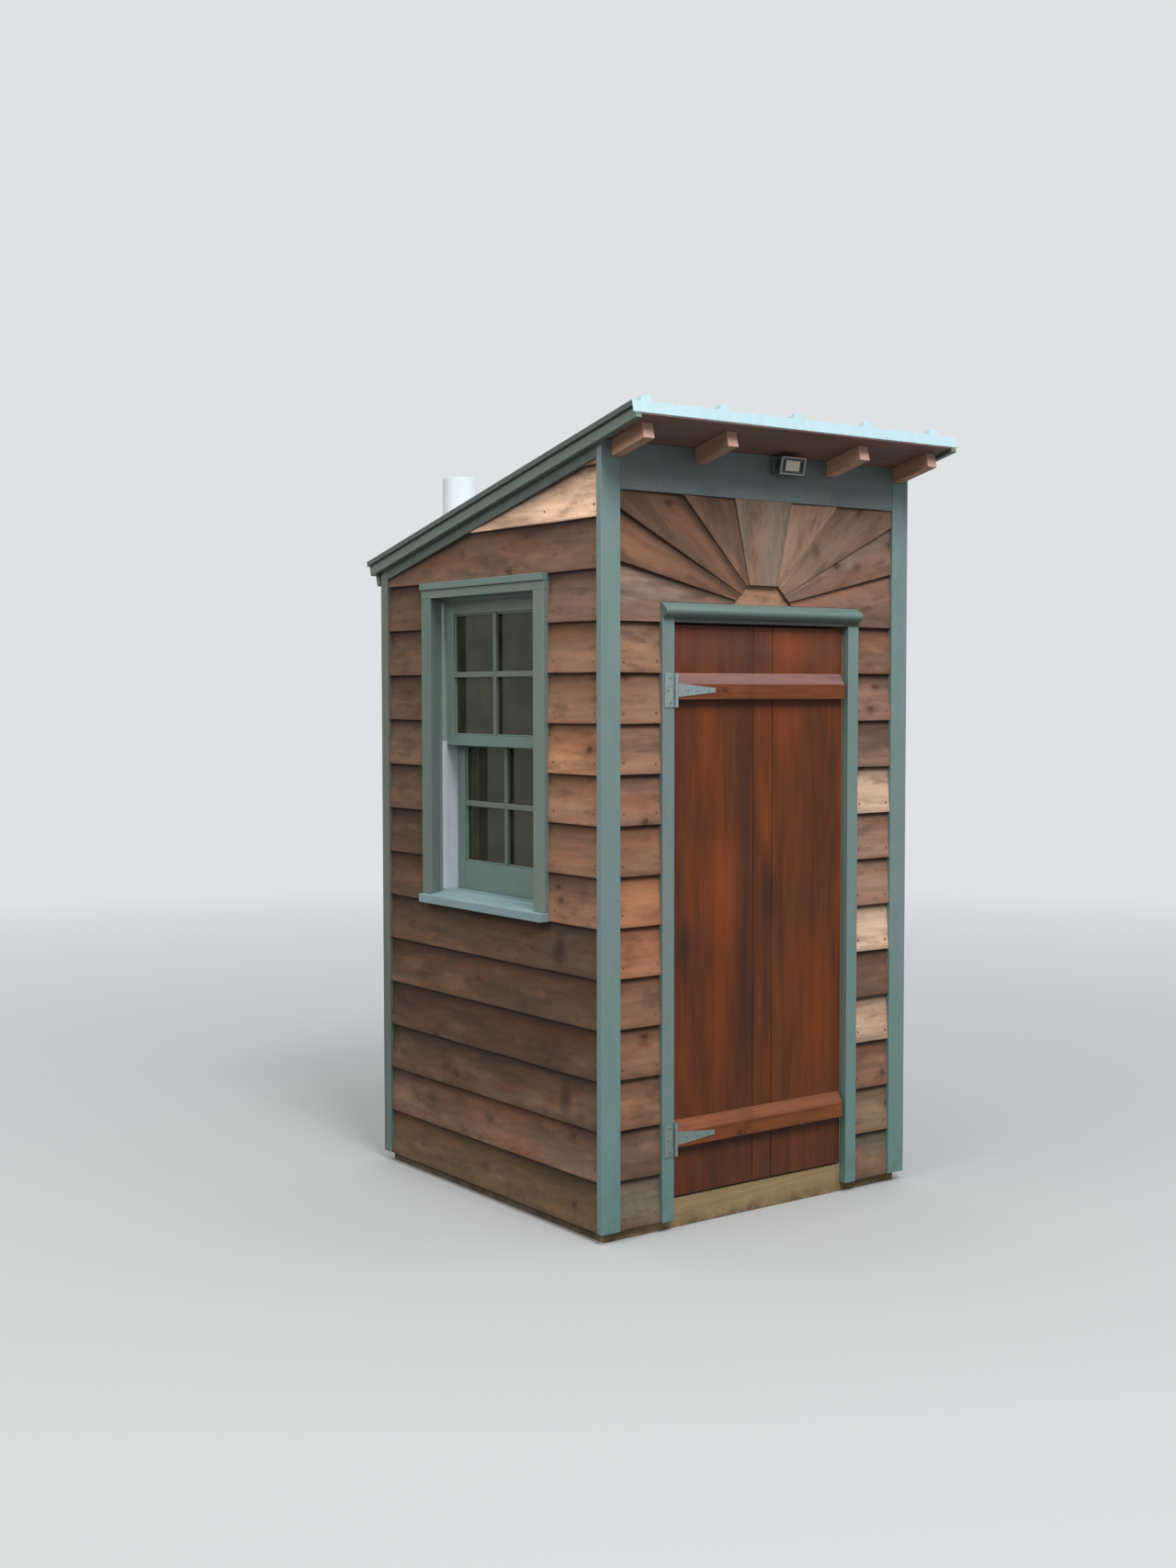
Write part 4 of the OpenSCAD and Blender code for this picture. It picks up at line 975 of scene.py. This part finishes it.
def drip_cap():
    """A moulding with a soft top edge and a round nose, drawn in a little at its ends."""
    boards = Boards(60)
    path = rounded([(-596, CAP_TOP), (-612, CAP_TOP), (-641, 1832), (-648, 1822), (-644, 1811),
                    (-630, 1801.5), (-624, 1801), (-624, 1819), (-596, 1819)], 5.0, 4)
    n = len(path)
    nose_y, nose_z = -624, 1822
    points = []
    for x, k in ((FIT - CASING_X, 0.86), (4 - CASING_X, 1), (CASING_X - 4, 1), (CASING_X - FIT, 0.86)):
        for y, z in path:
            m = k if y < nose_y else 1
            points.append(Vector((x, nose_y + (y - nose_y) * m, nose_z + (z - nose_z) * m)))
    faces = bands(n, 4) + [tuple(reversed(range(n))), tuple(range(3 * n, 4 * n))]
    boards.put(points, faces, [(p.x, p.z, p.y) for p in points], smooth=True)
    keep_edges(boards.make("drip-cap", "cap", slot="trim", node="drip_cap"))


def trim_nails():
    heads = Boards(62)
    head, proud = ((3.4, 0), (3.0, 0.35), (0, 0.5)), 0.1

    def nail(x, y, z, normal):
        heads.disc((x, y, z + heads.random.uniform(-9, 9)), normal, head)

    for i in range(6):
        z = 110 + i * 385
        for x in (-596, -560, 560, 596):
            nail(x, -HALF_D - proud, z, -Y)
        for side in (-1, 1):
            nail(side * (HALF_W + proud), -608, z, X * side)
            if z < 1950:
                nail(side * (HALF_W + proud), 598, z, X * side)
                nail(side * 576, HALF_D + proud, z, Y)
        if z < 1760:
            for x in (-374, 370):
                nail(x, CASING_Y - proud, z + 46, -Y)
    for i in range(5):
        for side in (-1, 1):
            heads.disc(on_roof(side * (HALF_W + BARGE_T + proud), 90 + i * 330, -24), X * side, head)
    for x in (-520, -400, -90, 120, 420, 520):
        heads.disc((x, -619.2, FRIEZE_Z + 24), -Y, head)
    heads.make("trim_nails", "trim", slot="trim")


trim()
drip_cap()
trim_nails()


# Wall frames and floor, stick by stick
def frames():
    top = DECK_T + RAFTER_H + FIT
    up = (Vector((0, ROOF_Y, EAVE_Z - top / math.cos(PITCH))), OFF_ROOF)
    under_plate = (Vector((0, ROOF_Y, EAVE_Z - (top + STUD) / math.cos(PITCH))), OFF_ROOF)
    fx, fy, rx, ry = FRAME_X, FRAME_Y, ROOM_X, ROOM_Y
    foot, half = FLOOR_Z + STUD, STUD / 2

    def cross_plate(boards, y0, y1):
        flat = below(y0, DECK_T + RAFTER_H) - STUD
        boards.sawn((-fx, y0, flat), (fx, y1, flat + STUD), "x", cut=(up,))
        return flat

    # Front
    boards = Boards(70)
    flat = cross_plate(boards, -fy, -ry)
    for side, (a, b) in zip((-1, 1), both(GAP_X, fx)):
        boards.sawn((a, -fy, FLOOR_Z), (b, -ry, foot), "x")
        for x in (side * (fx - half), side * (GAP_X + half)):
            tint = boards.varied(LUMBER)
            boards.stick((x - half, -fy, foot), (x + half, -ry, HEAD_Z), "z", tint=tint)
            boards.stick((x - half, -fy + STUD, HEAD_Z), (x + half, -ry, flat), "z", tint=tint)
    middle = (HEAD_Z + FRIEZE_Z + STUD) / 2
    for z0, z1 in ((HEAD_Z, middle), (middle, FRIEZE_Z + STUD)):
        boards.sawn((-fx, -fy, z0), (fx, -fy + STUD, z1 - 0.5), "x")
    boards.make("front_studs", "bare", slot="lumber", node="front_frame")

    # Rear
    boards = Boards(71)
    flat = cross_plate(boards, ry, fy)
    boards.sawn((-fx, ry, FLOOR_Z), (fx, fy, foot), "x")
    for x in (half - fx, 0, fx - half):
        boards.sawn((x - half, ry, foot), (x + half, fy, flat), "z")
    boards.make("rear_studs", "bare", slot="lumber", node="rear_frame")

    # Sides, each with a sloped top plate that is cut at the front and rear walls
    back = SLOPE.inverted()
    ends = [(back @ Vector((0, side * ry, 2100)), back.to_3x3() @ (Y * side)) for side in (-1, 1)]
    for name, x0, x1, studs in (("left", -fx, -rx, (-ROUGH - half, ROUGH + half)), ("right", rx, fx, (0,))):
        boards = Boards(72)
        boards.sawn((x0, -ry, FLOOR_Z), (x1, ry, foot), "y")
        for y in (half - ry, *studs, ry - half):
            boards.sawn((x0, y - half, foot), (x1, y + half, 2400), "z", cut=(under_plate,))
        boards.sawn((x0, 0, -top - STUD), (x1, ROOF_L, -top), "y", turn=SLOPE, cut=ends)
        if name == "left":
            for z in (WIN_TOP + 20, SILL_Z - STUD):
                boards.sawn((x0, -ROUGH, z), (x1, ROUGH, z + STUD), "y")
        boards.make(name + "_studs", "bare", slot="lumber", node=name + "_frame")


def floor():
    """The joists, the front sill, and the floor boards with two short pieces beside the doorway."""
    fx, fy = FRAME_X, FRAME_Y
    boards = Boards(73)
    for x in (-fx, -STUD / 2, fx - STUD):
        boards.sawn((x, -fy + STUD, 0), (x + STUD, fy - STUD, JOIST_H), "y", 2.0, JOIST)
    boards.sawn((-fx, fy - STUD, 0), (fx, fy, JOIST_H), "x", 2.0, JOIST)
    boards.make("joists", "bare", slot="lumber", node="rim_frame")
    boards = Boards(74)
    boards.stick((-fx, -fy, 0), (fx, -fy + STUD, JOIST_H), "x", 2.0, SILL)
    boards.make("front-sill", "bare", slot="lumber", node="front_sill")

    boards = Boards(75)
    count, gap, front = 9, 0.7, DOOR_BACK + 6
    wide = (fy - front) / count
    for i in range(count):
        y = front + i * wide
        boards.sawn((-fx, y + gap, JOIST_H), (fx, y + wide - gap, FLOOR_Z), "x", 1.0, FLOORING, 0.1)
    for a, b in both(GAP_X, fx):
        boards.stick((a, -fy, JOIST_H), (b, front - gap, FLOOR_Z), "x", 1.0, FLOORING)
    head, color = ((3.5, 0), (3.0, 0.3), (0, 0.3)), srgb(110, 100, 92)
    for i in range(count):
        for x in (-567, 0, 567):
            for part in (0.25, 0.75):
                boards.disc((x, front + (i + part) * wide, FLOOR_Z), Z, head, color)
    boards.make("floor_boards", "bare", slot="lumber", node="floor_deck")
    dressed(76, "door_stops", "door-stops", "bare", "lumber", None, 1.0, srgb(190, 164, 124))


frames()
floor()


# Roof
def plate_with_hole(boards, lo, hi, centre, r, tint=PLAIN, move=None, n=32):
    """A board on the slope, lying across it, with a round hole through it."""
    cx, cy = centre
    outline = []
    for c, s in circle(n):
        reach = min((hi[0] - cx if c > 0 else lo[0] - cx) / c if abs(c) > 1e-9 else 1e9,
                    (hi[1] - cy if s > 0 else lo[1] - cy) / s if abs(s) > 1e-9 else 1e9)
        outline.append((cx + c * reach, cy + s * reach))
    for corner in [(x, y) for x in (lo[0], hi[0]) for y in (lo[1], hi[1])]:
        outline[min(range(n), key=lambda i: math.dist(outline[i], corner))] = corner
    hole = [(cx + x, cy + y) for x, y in circle(n, r)]
    points = [Vector((x, y, z)) for z in (lo[2], hi[2]) for ring in (outline, hole) for x, y in ring]
    faces = []
    for i in range(n):
        j = (i + 1) % n
        faces += [(i, j, n + j, n + i), (2 * n + i, 2 * n + j, 3 * n + j, 3 * n + i),
                  (i, j, 2 * n + j, 2 * n + i), (n + i, n + j, 3 * n + j, 3 * n + i)]
    boards.put(points, faces, tint=tint, move=move, turn=SLOPE)


def roof_wood():
    """Rafters, and the roof boards, laid in two layers."""
    boards = Boards(80)
    back = SLOPE.inverted()
    front = min((back @ (v.co * 1000)).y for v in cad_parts["rafters"].data.vertices)
    # The rafters' light tint is partly painted light on the tails; their front ends are marked for the
    # painted light on them
    boards.from_node("rafters", DOWN_ROOF, 2.0, lambda m: boards.varied(srgb(208, 165, 141), 0.08),
                     lambda p: 1.0 if (back @ p).y < front + 1 else 0.0)
    boards.make("rafter_sticks", "rafter", slot="rafter", node="rafters")

    boards = Boards(81)
    count, gap, reach, hole_r = 11, 0.8, 75, 64
    wide = ROOF_L / count
    for i in range(count):
        s0, s1 = i * wide + gap, (i + 1) * wide - gap
        tint = boards.varied(srgb(124, 96, 86), 0.16)
        move = boards.shift()
        for h0, h1 in ((-DECK_T, -DECK_T / 2 - 0.4), (-DECK_T / 2 + 0.4, -0.1)):
            if not s0 < PIPE_S < s1:
                boards.stick((-HALF_W, s0, h0), (HALF_W, s1, h1), "x", 1.2, tint, turn=SLOPE, move=move)
                continue
            # The board that the pipe goes through
            a, b = PIPE_X - reach, PIPE_X + reach
            for x0, x1 in ((-HALF_W, a), (b, HALF_W)):
                boards.stick((x0, s0, h0), (x1, s1, h1), "x", 0, tint, turn=SLOPE, move=move)
            middle = PIPE_S + (h0 + h1) / 2 * math.tan(PITCH)
            plate_with_hole(boards, (a, s0, h0), (b, s1, h1), (PIPE_X, middle), hole_r, tint, move)
    boards.make("roof_boards", "rafter", slot="rafter", node="roof_deck")


def roof_profile():
    """The roof sheet's section: ribs, with two small beads between each pair."""
    path = [(-SHEET_HALF, 0.0)]
    for k, x in enumerate(RIB_XS):
        wide, narrow = RIB_W / 2, RIB_TOP / 2
        path += [(x - wide, 0.0), (x - narrow, RIB_H), (x + narrow, RIB_H), (x + wide, 0.0)]
        for after in RIB_XS[k + 1:k + 2]:
            for part in (1 / 3, 2 / 3):
                c = x + (after - x) * part
                path += [(c - 9, 0.0), (c - 4, 2.6), (c + 4, 2.6), (c + 9, 0.0)]
    return rounded(path + [(SHEET_HALF, 0.0)], 4.0)


def roof_sheet():
    """The sheet, with a hole for the pipe in a flat between ribs, and a fold over the ribs' ends in front."""
    top = roof_profile()
    n = len(top)
    x0 = max(x for x, h in top if x < PIPE_X - 62)
    x1 = min(x for x, h in top if x > PIPE_X + 62)
    s0, s1 = PIPE_S - 90, PIPE_S + 90
    rows = sorted([-1.45, 0.0, 300, 600, 900, 1200, ROOF_L, s0, s1])
    points, faces = [], []
    for s in rows:
        points += [Vector((x, s, h + t)) for t in (SHEET_T, FIT) for x, h in top]
    step = 2 * n
    for k in range(len(rows) - 1):
        for i in range(n - 1):
            if rows[k] == s0 and x0 <= top[i][0] and top[i + 1][0] <= x1:
                continue
            a = k * step + i
            faces += [(a, a + 1, a + 1 + step, a + step), (a + n, a + 1 + n, a + 1 + n + step, a + n + step)]
    for start in (0, (len(rows) - 1) * step):
        faces += [(start + i, start + i + 1, start + n + i + 1, start + n + i) for i in range(n - 1)]
    boards = Boards(82)
    boards.put(points, faces, smooth=True, turn=SLOPE)
    plate_with_hole(boards, (x0, s0, FIT), (x1, s1, SHEET_T), (PIPE_X, PIPE_S), 61)
    boards.make("roof_panel", "roof", slot="roof", node="roof_sheet")

    points, faces = [], []
    for s in (-1.5, -0.1):
        points += [Vector((x, s, -LIP_H)) for x, h in top] + [Vector((x, s, h + SHEET_T)) for x, h in top]
    for i in range(n - 1):
        faces += [(i, i + 1, n + i + 1, n + i), (step + i, step + i + 1, step + n + i + 1, step + n + i),
                  (i, i + 1, step + i + 1, step + i)]
    fold = Boards(88)
    fold.put(points, faces, turn=SLOPE)
    fold.stick((-SHEET_HALF, -1.5, -LIP_H), (SHEET_HALF, 2.5, -LIP_H + 2.4), "x", 0.8, turn=SLOPE)
    fold.make("roof_front_fold", "roof_front", slot="roof")


def roof_trimmings():
    """Side folds, screws with sealing washers beside the ribs, and foam in the open rib ends at the back."""
    edges = Boards(83)
    for side in (-1, 1):
        for thick, h in ((SHEET_T, 0.2), (5, -SIDE_LIP_H + 1.6)):
            a, b = sorted((side * SHEET_HALF, side * (SHEET_HALF - thick)))
            edges.stick((a, 0, -SIDE_LIP_H), (b, ROOF_L, h), "y", 0.3, turn=SLOPE)
    edges.make("roof_side_folds", "roof_edge", slot="roof")

    screws, washers = Boards(84), Boards(85)
    washer, flange, hexagon = ((8.5, 0), (8.5, 1.6), (6.5, 2.6)), ((7, 0), (7, 1.0), (5.0, 1.2)), (
        (4.6, 0), (4.6, 3.6), (3.8, 4.2))
    for s in (45, 385, 740, 1100, 1462):
        for x in [rib + dx for rib in RIB_XS for dx in (-42, 42)]:
            if abs(x) > SHEET_HALF - 14 or (Vector((x, s)) - Vector((PIPE_X, PIPE_S))).length < 100:
                continue
            washers.disc(on_roof(x, s, SHEET_T - 0.1), OFF_ROOF, washer, sides=14)
            screws.disc(on_roof(x, s, SHEET_T + 2.4), OFF_ROOF, flange, sides=14)
            screws.disc(on_roof(x, s, SHEET_T + 3.4), OFF_ROOF, hexagon, sides=6)
    screws.make("roof_screws", "steel", slot="hinge")
    for x in RIB_XS:
        wide, narrow = RIB_W / 2 - 1, RIB_TOP / 2 - 1
        end = ((x - wide, 0.2), (x - narrow, RIB_H - 0.6), (x + narrow, RIB_H - 0.6), (x + wide, 0.2))
        washers.put([Vector((u, s, h)) for s in (ROOF_L - 26, ROOF_L - 3) for u, h in end], BLOCK, turn=SLOPE)
    washers.make("roof_washers", "rubber", slot="rubber")


def pipe():
    """The pipe with a thin rim, and a stepped rubber boot round it."""
    n = 64
    top, inner, lip, foot = roof_top(PIPE_Y) + 211, PIPE_R - 6, 1.2, FLOOR_Z + 0.2
    levels = (FLOOR_Z + 700, FLOOR_Z + 1500)
    rings = [(PIPE_R, z) for z in (foot, *levels, top - lip)] + [(PIPE_R - lip, top), (inner + lip, top)]
    rings += [(inner, z) for z in (top - lip, *reversed(levels), foot)]
    points = [Vector((PIPE_X + x, PIPE_Y + y, z)) for r, z in rings for x, y in circle(n, r)]
    boards = Boards(86)
    boards.put(points, bands(n, len(rings), True), smooth=True)
    keep_edges(boards.make("pipe", "pipe", slot="pipe", node="vent_pipe"))

    base = roof_top(PIPE_Y)
    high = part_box("pipe_collar")[1][2] * 1000
    outer, level, gap = PIPE_R + 21.5, base + 30, 0.4
    points = []
    # Rings that lie on the slope, h over the sheet, then level ones at height z, and one on the slope again
    for r, h, z in ((outer, 0.2, None), (outer, 3.0, None), (outer - 2, 4.0, None), (outer - 7, 4.2, None),
                    (PIPE_R + 11, 7.0, None), (PIPE_R + 9, None, level), (PIPE_R + 6, None, level + 2),
                    (PIPE_R + 5.5, None, min(high - 5, level + 9)),
                    (PIPE_R + 3, None, min(high - 4, level + 11)),
                    (PIPE_R + 2.6, None, high - 1), (PIPE_R + 1.8, None, high - 0.2),
                    (PIPE_R + gap, None, high - 0.2), (PIPE_R + gap, 0.2, None)):
        for x, y in circle(n, r):
            lies = base - y * math.tan(PITCH) + (SHEET_T + h) / math.cos(PITCH) if z is None else z
            points.append(Vector((PIPE_X + x, PIPE_Y + y, lies)))
    boards = Boards(87)
    boards.put(points, bands(n, len(points) // n, True), smooth=True)
    keep_edges(boards.make("pipe_boot", "rubber", slot="rubber", node="pipe_collar"))


roof_wood()
roof_sheet()
roof_trimmings()
pipe()


# Door
def screw(boards, slots, place, r=4.6):
    """A pan-head screw that faces the front, with a cross slot drawn as a cross on its head, for a painted
    shade of the slot.
    """
    normal = -Y
    rings = ((r, 0), (r, r * 0.12), (r * 0.86, r * 0.32), (r * 0.5, r * 0.42), (0, r * 0.44))
    boards.disc(place, normal, rings, sides=14)
    side = normal.orthogonal().normalized()
    angle = boards.random.uniform(0, math.pi)
    for a in (angle, angle + math.pi / 2):
        u = side * math.cos(a) + normal.cross(side) * math.sin(a)
        v = normal.cross(u)
        mid = Vector(place) + normal * (r * 0.40)
        slots.put([mid + u * (p * r * 0.52) + v * (q * r * 0.10) + normal * (k * r * 0.07) for k in (0, 1)
                   for p, q in ((-1, -1), (1, -1), (1, 1), (-1, 1))], BLOCK)


def door():
    planks = srgb(94, 51, 30), srgb(104, 57, 30), srgb(98, 53, 29)
    ledges = srgb(134, 77, 42), srgb(124, 69, 43)
    dressed(90, "door_planks", "planks", "door", "door", Z, 1.8,
            lambda m: planks[0 if m.x < -60 else 1 if m.x < 80 else 2], body="door")
    dressed(91, "door_ledges", "ledges", "door", "door", X, 2.0, lambda m: ledges[m.z > 900], body="door")
    coat("hinge_leaves", "steel")
    coat("hinge_straps", "steel")
    leaf, strap, slots, strap_slots = Boards(92), Boards(93), Boards(94), Boards(95)
    # The hinges' middles lie half a leaf's height inside the box round both leaves
    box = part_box("hinge_leaves")
    for z in (box[0][2] * 1000 + 50, box[1][2] * 1000 - 50):
        for dx, dz in ((-18, 36), (-26, 0), (-18, -36)):
            screw(leaf, slots, (-GAP_X + dx, CASING_Y - 2.5, z + dz))
        for x in (-300, -262, -222):
            screw(strap, strap_slots, (x, CASING_Y - 2.5, z), 4.4)
    leaf.make("leaf_screws", "steel", slot="hinge")
    # The slots are dark: painted shade in the slots
    slots.make("leaf_screw_slots", "dark", slot="rubber")
    strap.make("strap_screws", "steel", "door", "hinge")
    strap_slots.make("strap_screw_slots", "dark", "door", "rubber")
    # Nails through the planks into the ledges
    heads = Boards(96)
    for z in (246, 1563):
        for x in (-312, -200, -80, 10, 90, 200, 312):
            for dz in (12, 34):
                heads.disc((x + heads.random.uniform(-4, 4), DOOR_BACK, z + dz), Y, NAIL)
                if x > -190:
                    heads.disc((x, CASING_Y, z + dz - 4), -Y, ((2.6, -0.4), (2.6, 0.2), (0, 0.3)))
    heads.make("door_nails", "nail", "door", "hinge")


door()


# Window
def casing_and_frame():
    boards = Boards(100)
    # The rear leg's tint is darker: painted shade towards the rear of the wall
    for (a, b), tint in zip(both(WIN_HALF, WIN_OUT), ((1.14, 0.99, 0.97), (0.88, 0.80, 0.80))):
        boards.stick((WIN_X, a, NOSE_TOP), (-FRAME_X, b, WIN_TOP), "z", 1.8, tint)
    cap_z = HEAD_TOP - 22
    boards.stick((WIN_X, -WIN_OUT, WIN_TOP), (-FRAME_X, WIN_OUT, cap_z), "y", 1.4, (1.14, 1.06, 1.0))
    boards.stick((WIN_X - 8, -WIN_OUT, cap_z), (-FRAME_X, WIN_OUT, HEAD_TOP), "y", 2.4)
    boards.make("casing_boards", "window", slot="trim", node="window_casing")

    boards = Boards(101)
    for a, b in both(WIN_HALF, ROUGH):
        boards.stick((-FRAME_X, a, SILL_Z), (FRAME_IN, b, WIN_TOP + 20), "z", 1.0)
    boards.stick((-FRAME_X, -WIN_HALF, WIN_TOP), (FRAME_IN, WIN_HALF, WIN_TOP + 20), "y", 1.0)
    boards.stick((-576, -WIN_HALF, WIN_TOP - 12), (-564, WIN_HALF, WIN_TOP), "y", 1.5)
    boards.make("jamb_boards", "window", slot="trim", node="window_frame")

    dressed(102, "window_sill", "sill_board", "sill", "trim", Y, 3.0, segments=3)


def sash(name, x, z0, z1, low, high, head_rail_shade):
    """A sash with a cross of glazing bars on both sides of the glass; low and high are its rails' heights,
    and head_rail_shade tints its head rail as painted shade.
    """
    boards = Boards(103)
    light, half, putty = LIGHT_HALF, BAR_W / 2, 5
    foot, head = z0 + low, z1 - high
    for a, b in both(light, SASH_HALF):
        boards.stick((x, a, z0), (x + SASH_T, b, z1), "z", 1.6)
    boards.stick((x, -light, z0), (x + SASH_T, light, foot), "y", 1.6)
    boards.stick((x, -light, head), (x + SASH_T, light, z1), "y", 1.6, head_rail_shade)
    mid = (foot + head) / 2
    # The glazing bars are darker and greyer than the sash, the level one less so: painted shade, and painted
    # light on the level bar
    for d0, d1 in ((0, BAR_D), (BAR_D + 4.6, BAR_D + 16)):
        boards.stick((x + d0, -half, foot), (x + d1, half, head), "z", 2.6, (0.80, 0.66, 0.62))
        boards.stick((x + d0 + 0.2, -light, mid - half), (x + d1 - 0.2, light, mid + half), "y", 2.6,
                     (0.95, 0.76, 0.74))
    for (a, b), z in zip(both(light - putty, light), (foot, head - putty)):
        boards.stick((x + putty, a, foot), (x + BAR_D, b, head), "z", 1.5)
        boards.stick((x + putty, -light, z), (x + BAR_D, light, z + putty), "y", 1.5)
    boards.make(name + "_sticks", "window", slot="trim", node=name)


def liners_and_locks():
    """Track liners, the glass, a sash lock and lifts on the inside, and the catch in the rear liner."""
    boards = Boards(105)
    boards.from_node("jamb_liners", Z, 0.6)
    for a, b in both(SASH_HALF - 0.1, SASH_HALF + 1):
        for x in (-526, -490):
            boards.stick((x, a, WIN_Z + 1), (x + 2, b, WIN_TOP - 1), "z", 0.3)
    boards.make("track_liners", "liner", slot="liner", node="jamb_liners")
    coat("window_glass", "glass")

    lock = Boards(106)
    lock.stick((LOWER_X + 2, -26, LOWER_TOP), (LOWER_X + SASH_T - 3, 26, LOWER_TOP + 3), "y", 1.0)
    lock.disc((LOWER_X + 18, 0, LOWER_TOP + 3), Z, ((11, 0), (11, 5), (8, 8), (0, 8.5)), sides=20)
    lock.stick((LOWER_X + 12, 0, LOWER_TOP + 6), (LOWER_X + 22, 34, LOWER_TOP + 10), "y", 2.0)
    lift = LOWER_X + SASH_T
    for y in (-120, 120):
        lock.stick((lift, y - 30, 985), (lift + 2, y + 30, 1000), "y", 0.8)
        lock.stick((lift, y - 30, 998), (lift + 9.5, y + 30, 1001), "y", 1.0)
    lock.make("sash_hardware", "steel", slot="hinge")
    catch = Boards(107)
    catch.stick((-574, SASH_HALF - 1.5, 1238), (-568, SASH_HALF, 1262), "z", 0.8)
    catch.make("sash_catch", "dark", slot="rubber")


casing_and_frame()
# The upper sash's head rail is darker: painted shade under the window head
sash("upper_sash", UPPER_X, UPPER_Z, WIN_TOP - FIT, 34, 53, (0.80, 0.66, 0.56))
sash("lower_sash", LOWER_X, WIN_Z + FIT, LOWER_TOP, 91, 34, PLAIN)
liners_and_locks()


def lamp():
    """The lamp under the eave: the CAD housing, a domed lens in its front and a pale rim round it."""
    dressed(110, "eave_lamp", "lamp_housing", "lamp", "lamp", X, 1.6)
    plate, tilt, wide, tall, out, rim = 9, math.radians(12), 112, 52, 46, 5
    y = -HALF_D + 1
    centre = Vector((82, y - plate, below(y, DECK_T) - 5 - tall / 2 + tall / 10))
    head = Matrix.Translation(centre) @ Matrix.Rotation(tilt, 4, "X")
    w, h, face = wide * 0.8 / 2 + 4, tall * 0.75 / 2 + 7, -(out - plate) * 0.8
    edge = Boards(111)
    for x0, z0, x1, z1, along in ((-w, h - rim, w, h, "x"), (-w, -h, w, -h + rim, "x"),
                                  (-w, -h + rim, -w + rim, h - rim, "z"),
                                  (w - rim, -h + rim, w, h - rim, "z")):
        edge.stick((x0, face - 1.6, z0), (x1, face + 4, z1), along, 1.0, turn=head)
    edge.make("lamp_rim", "lamp_rim", slot="lamp")
    lens = Boards(112)
    n, m = 12, 8
    points = []
    for j in range(m + 1):
        for i in range(n + 1):
            u, v = i / n * 2 - 1, j / m * 2 - 1
            bulge = 2.6 * (1 - u * u) * (1 - v * v)
            points.append(head @ Vector((u * (w - rim - 16), face + 1.5 - bulge, v * (h - rim - 4))))
    starts = [j * (n + 1) + i for j in range(m) for i in range(n)]
    lens.put(points, [(a, a + 1, a + n + 2, a + n + 1) for a in starts], smooth=True)
    lens.make("lamp_lens", "lens", slot="lamp")
    back = Boards(113)
    back.stick((-w + rim, face + 2, -h + rim), (w - rim, face + 3.5, h - rim), "x", 0, turn=head)
    back.make("lamp_reflector", "dark", slot="lamp")


lamp()
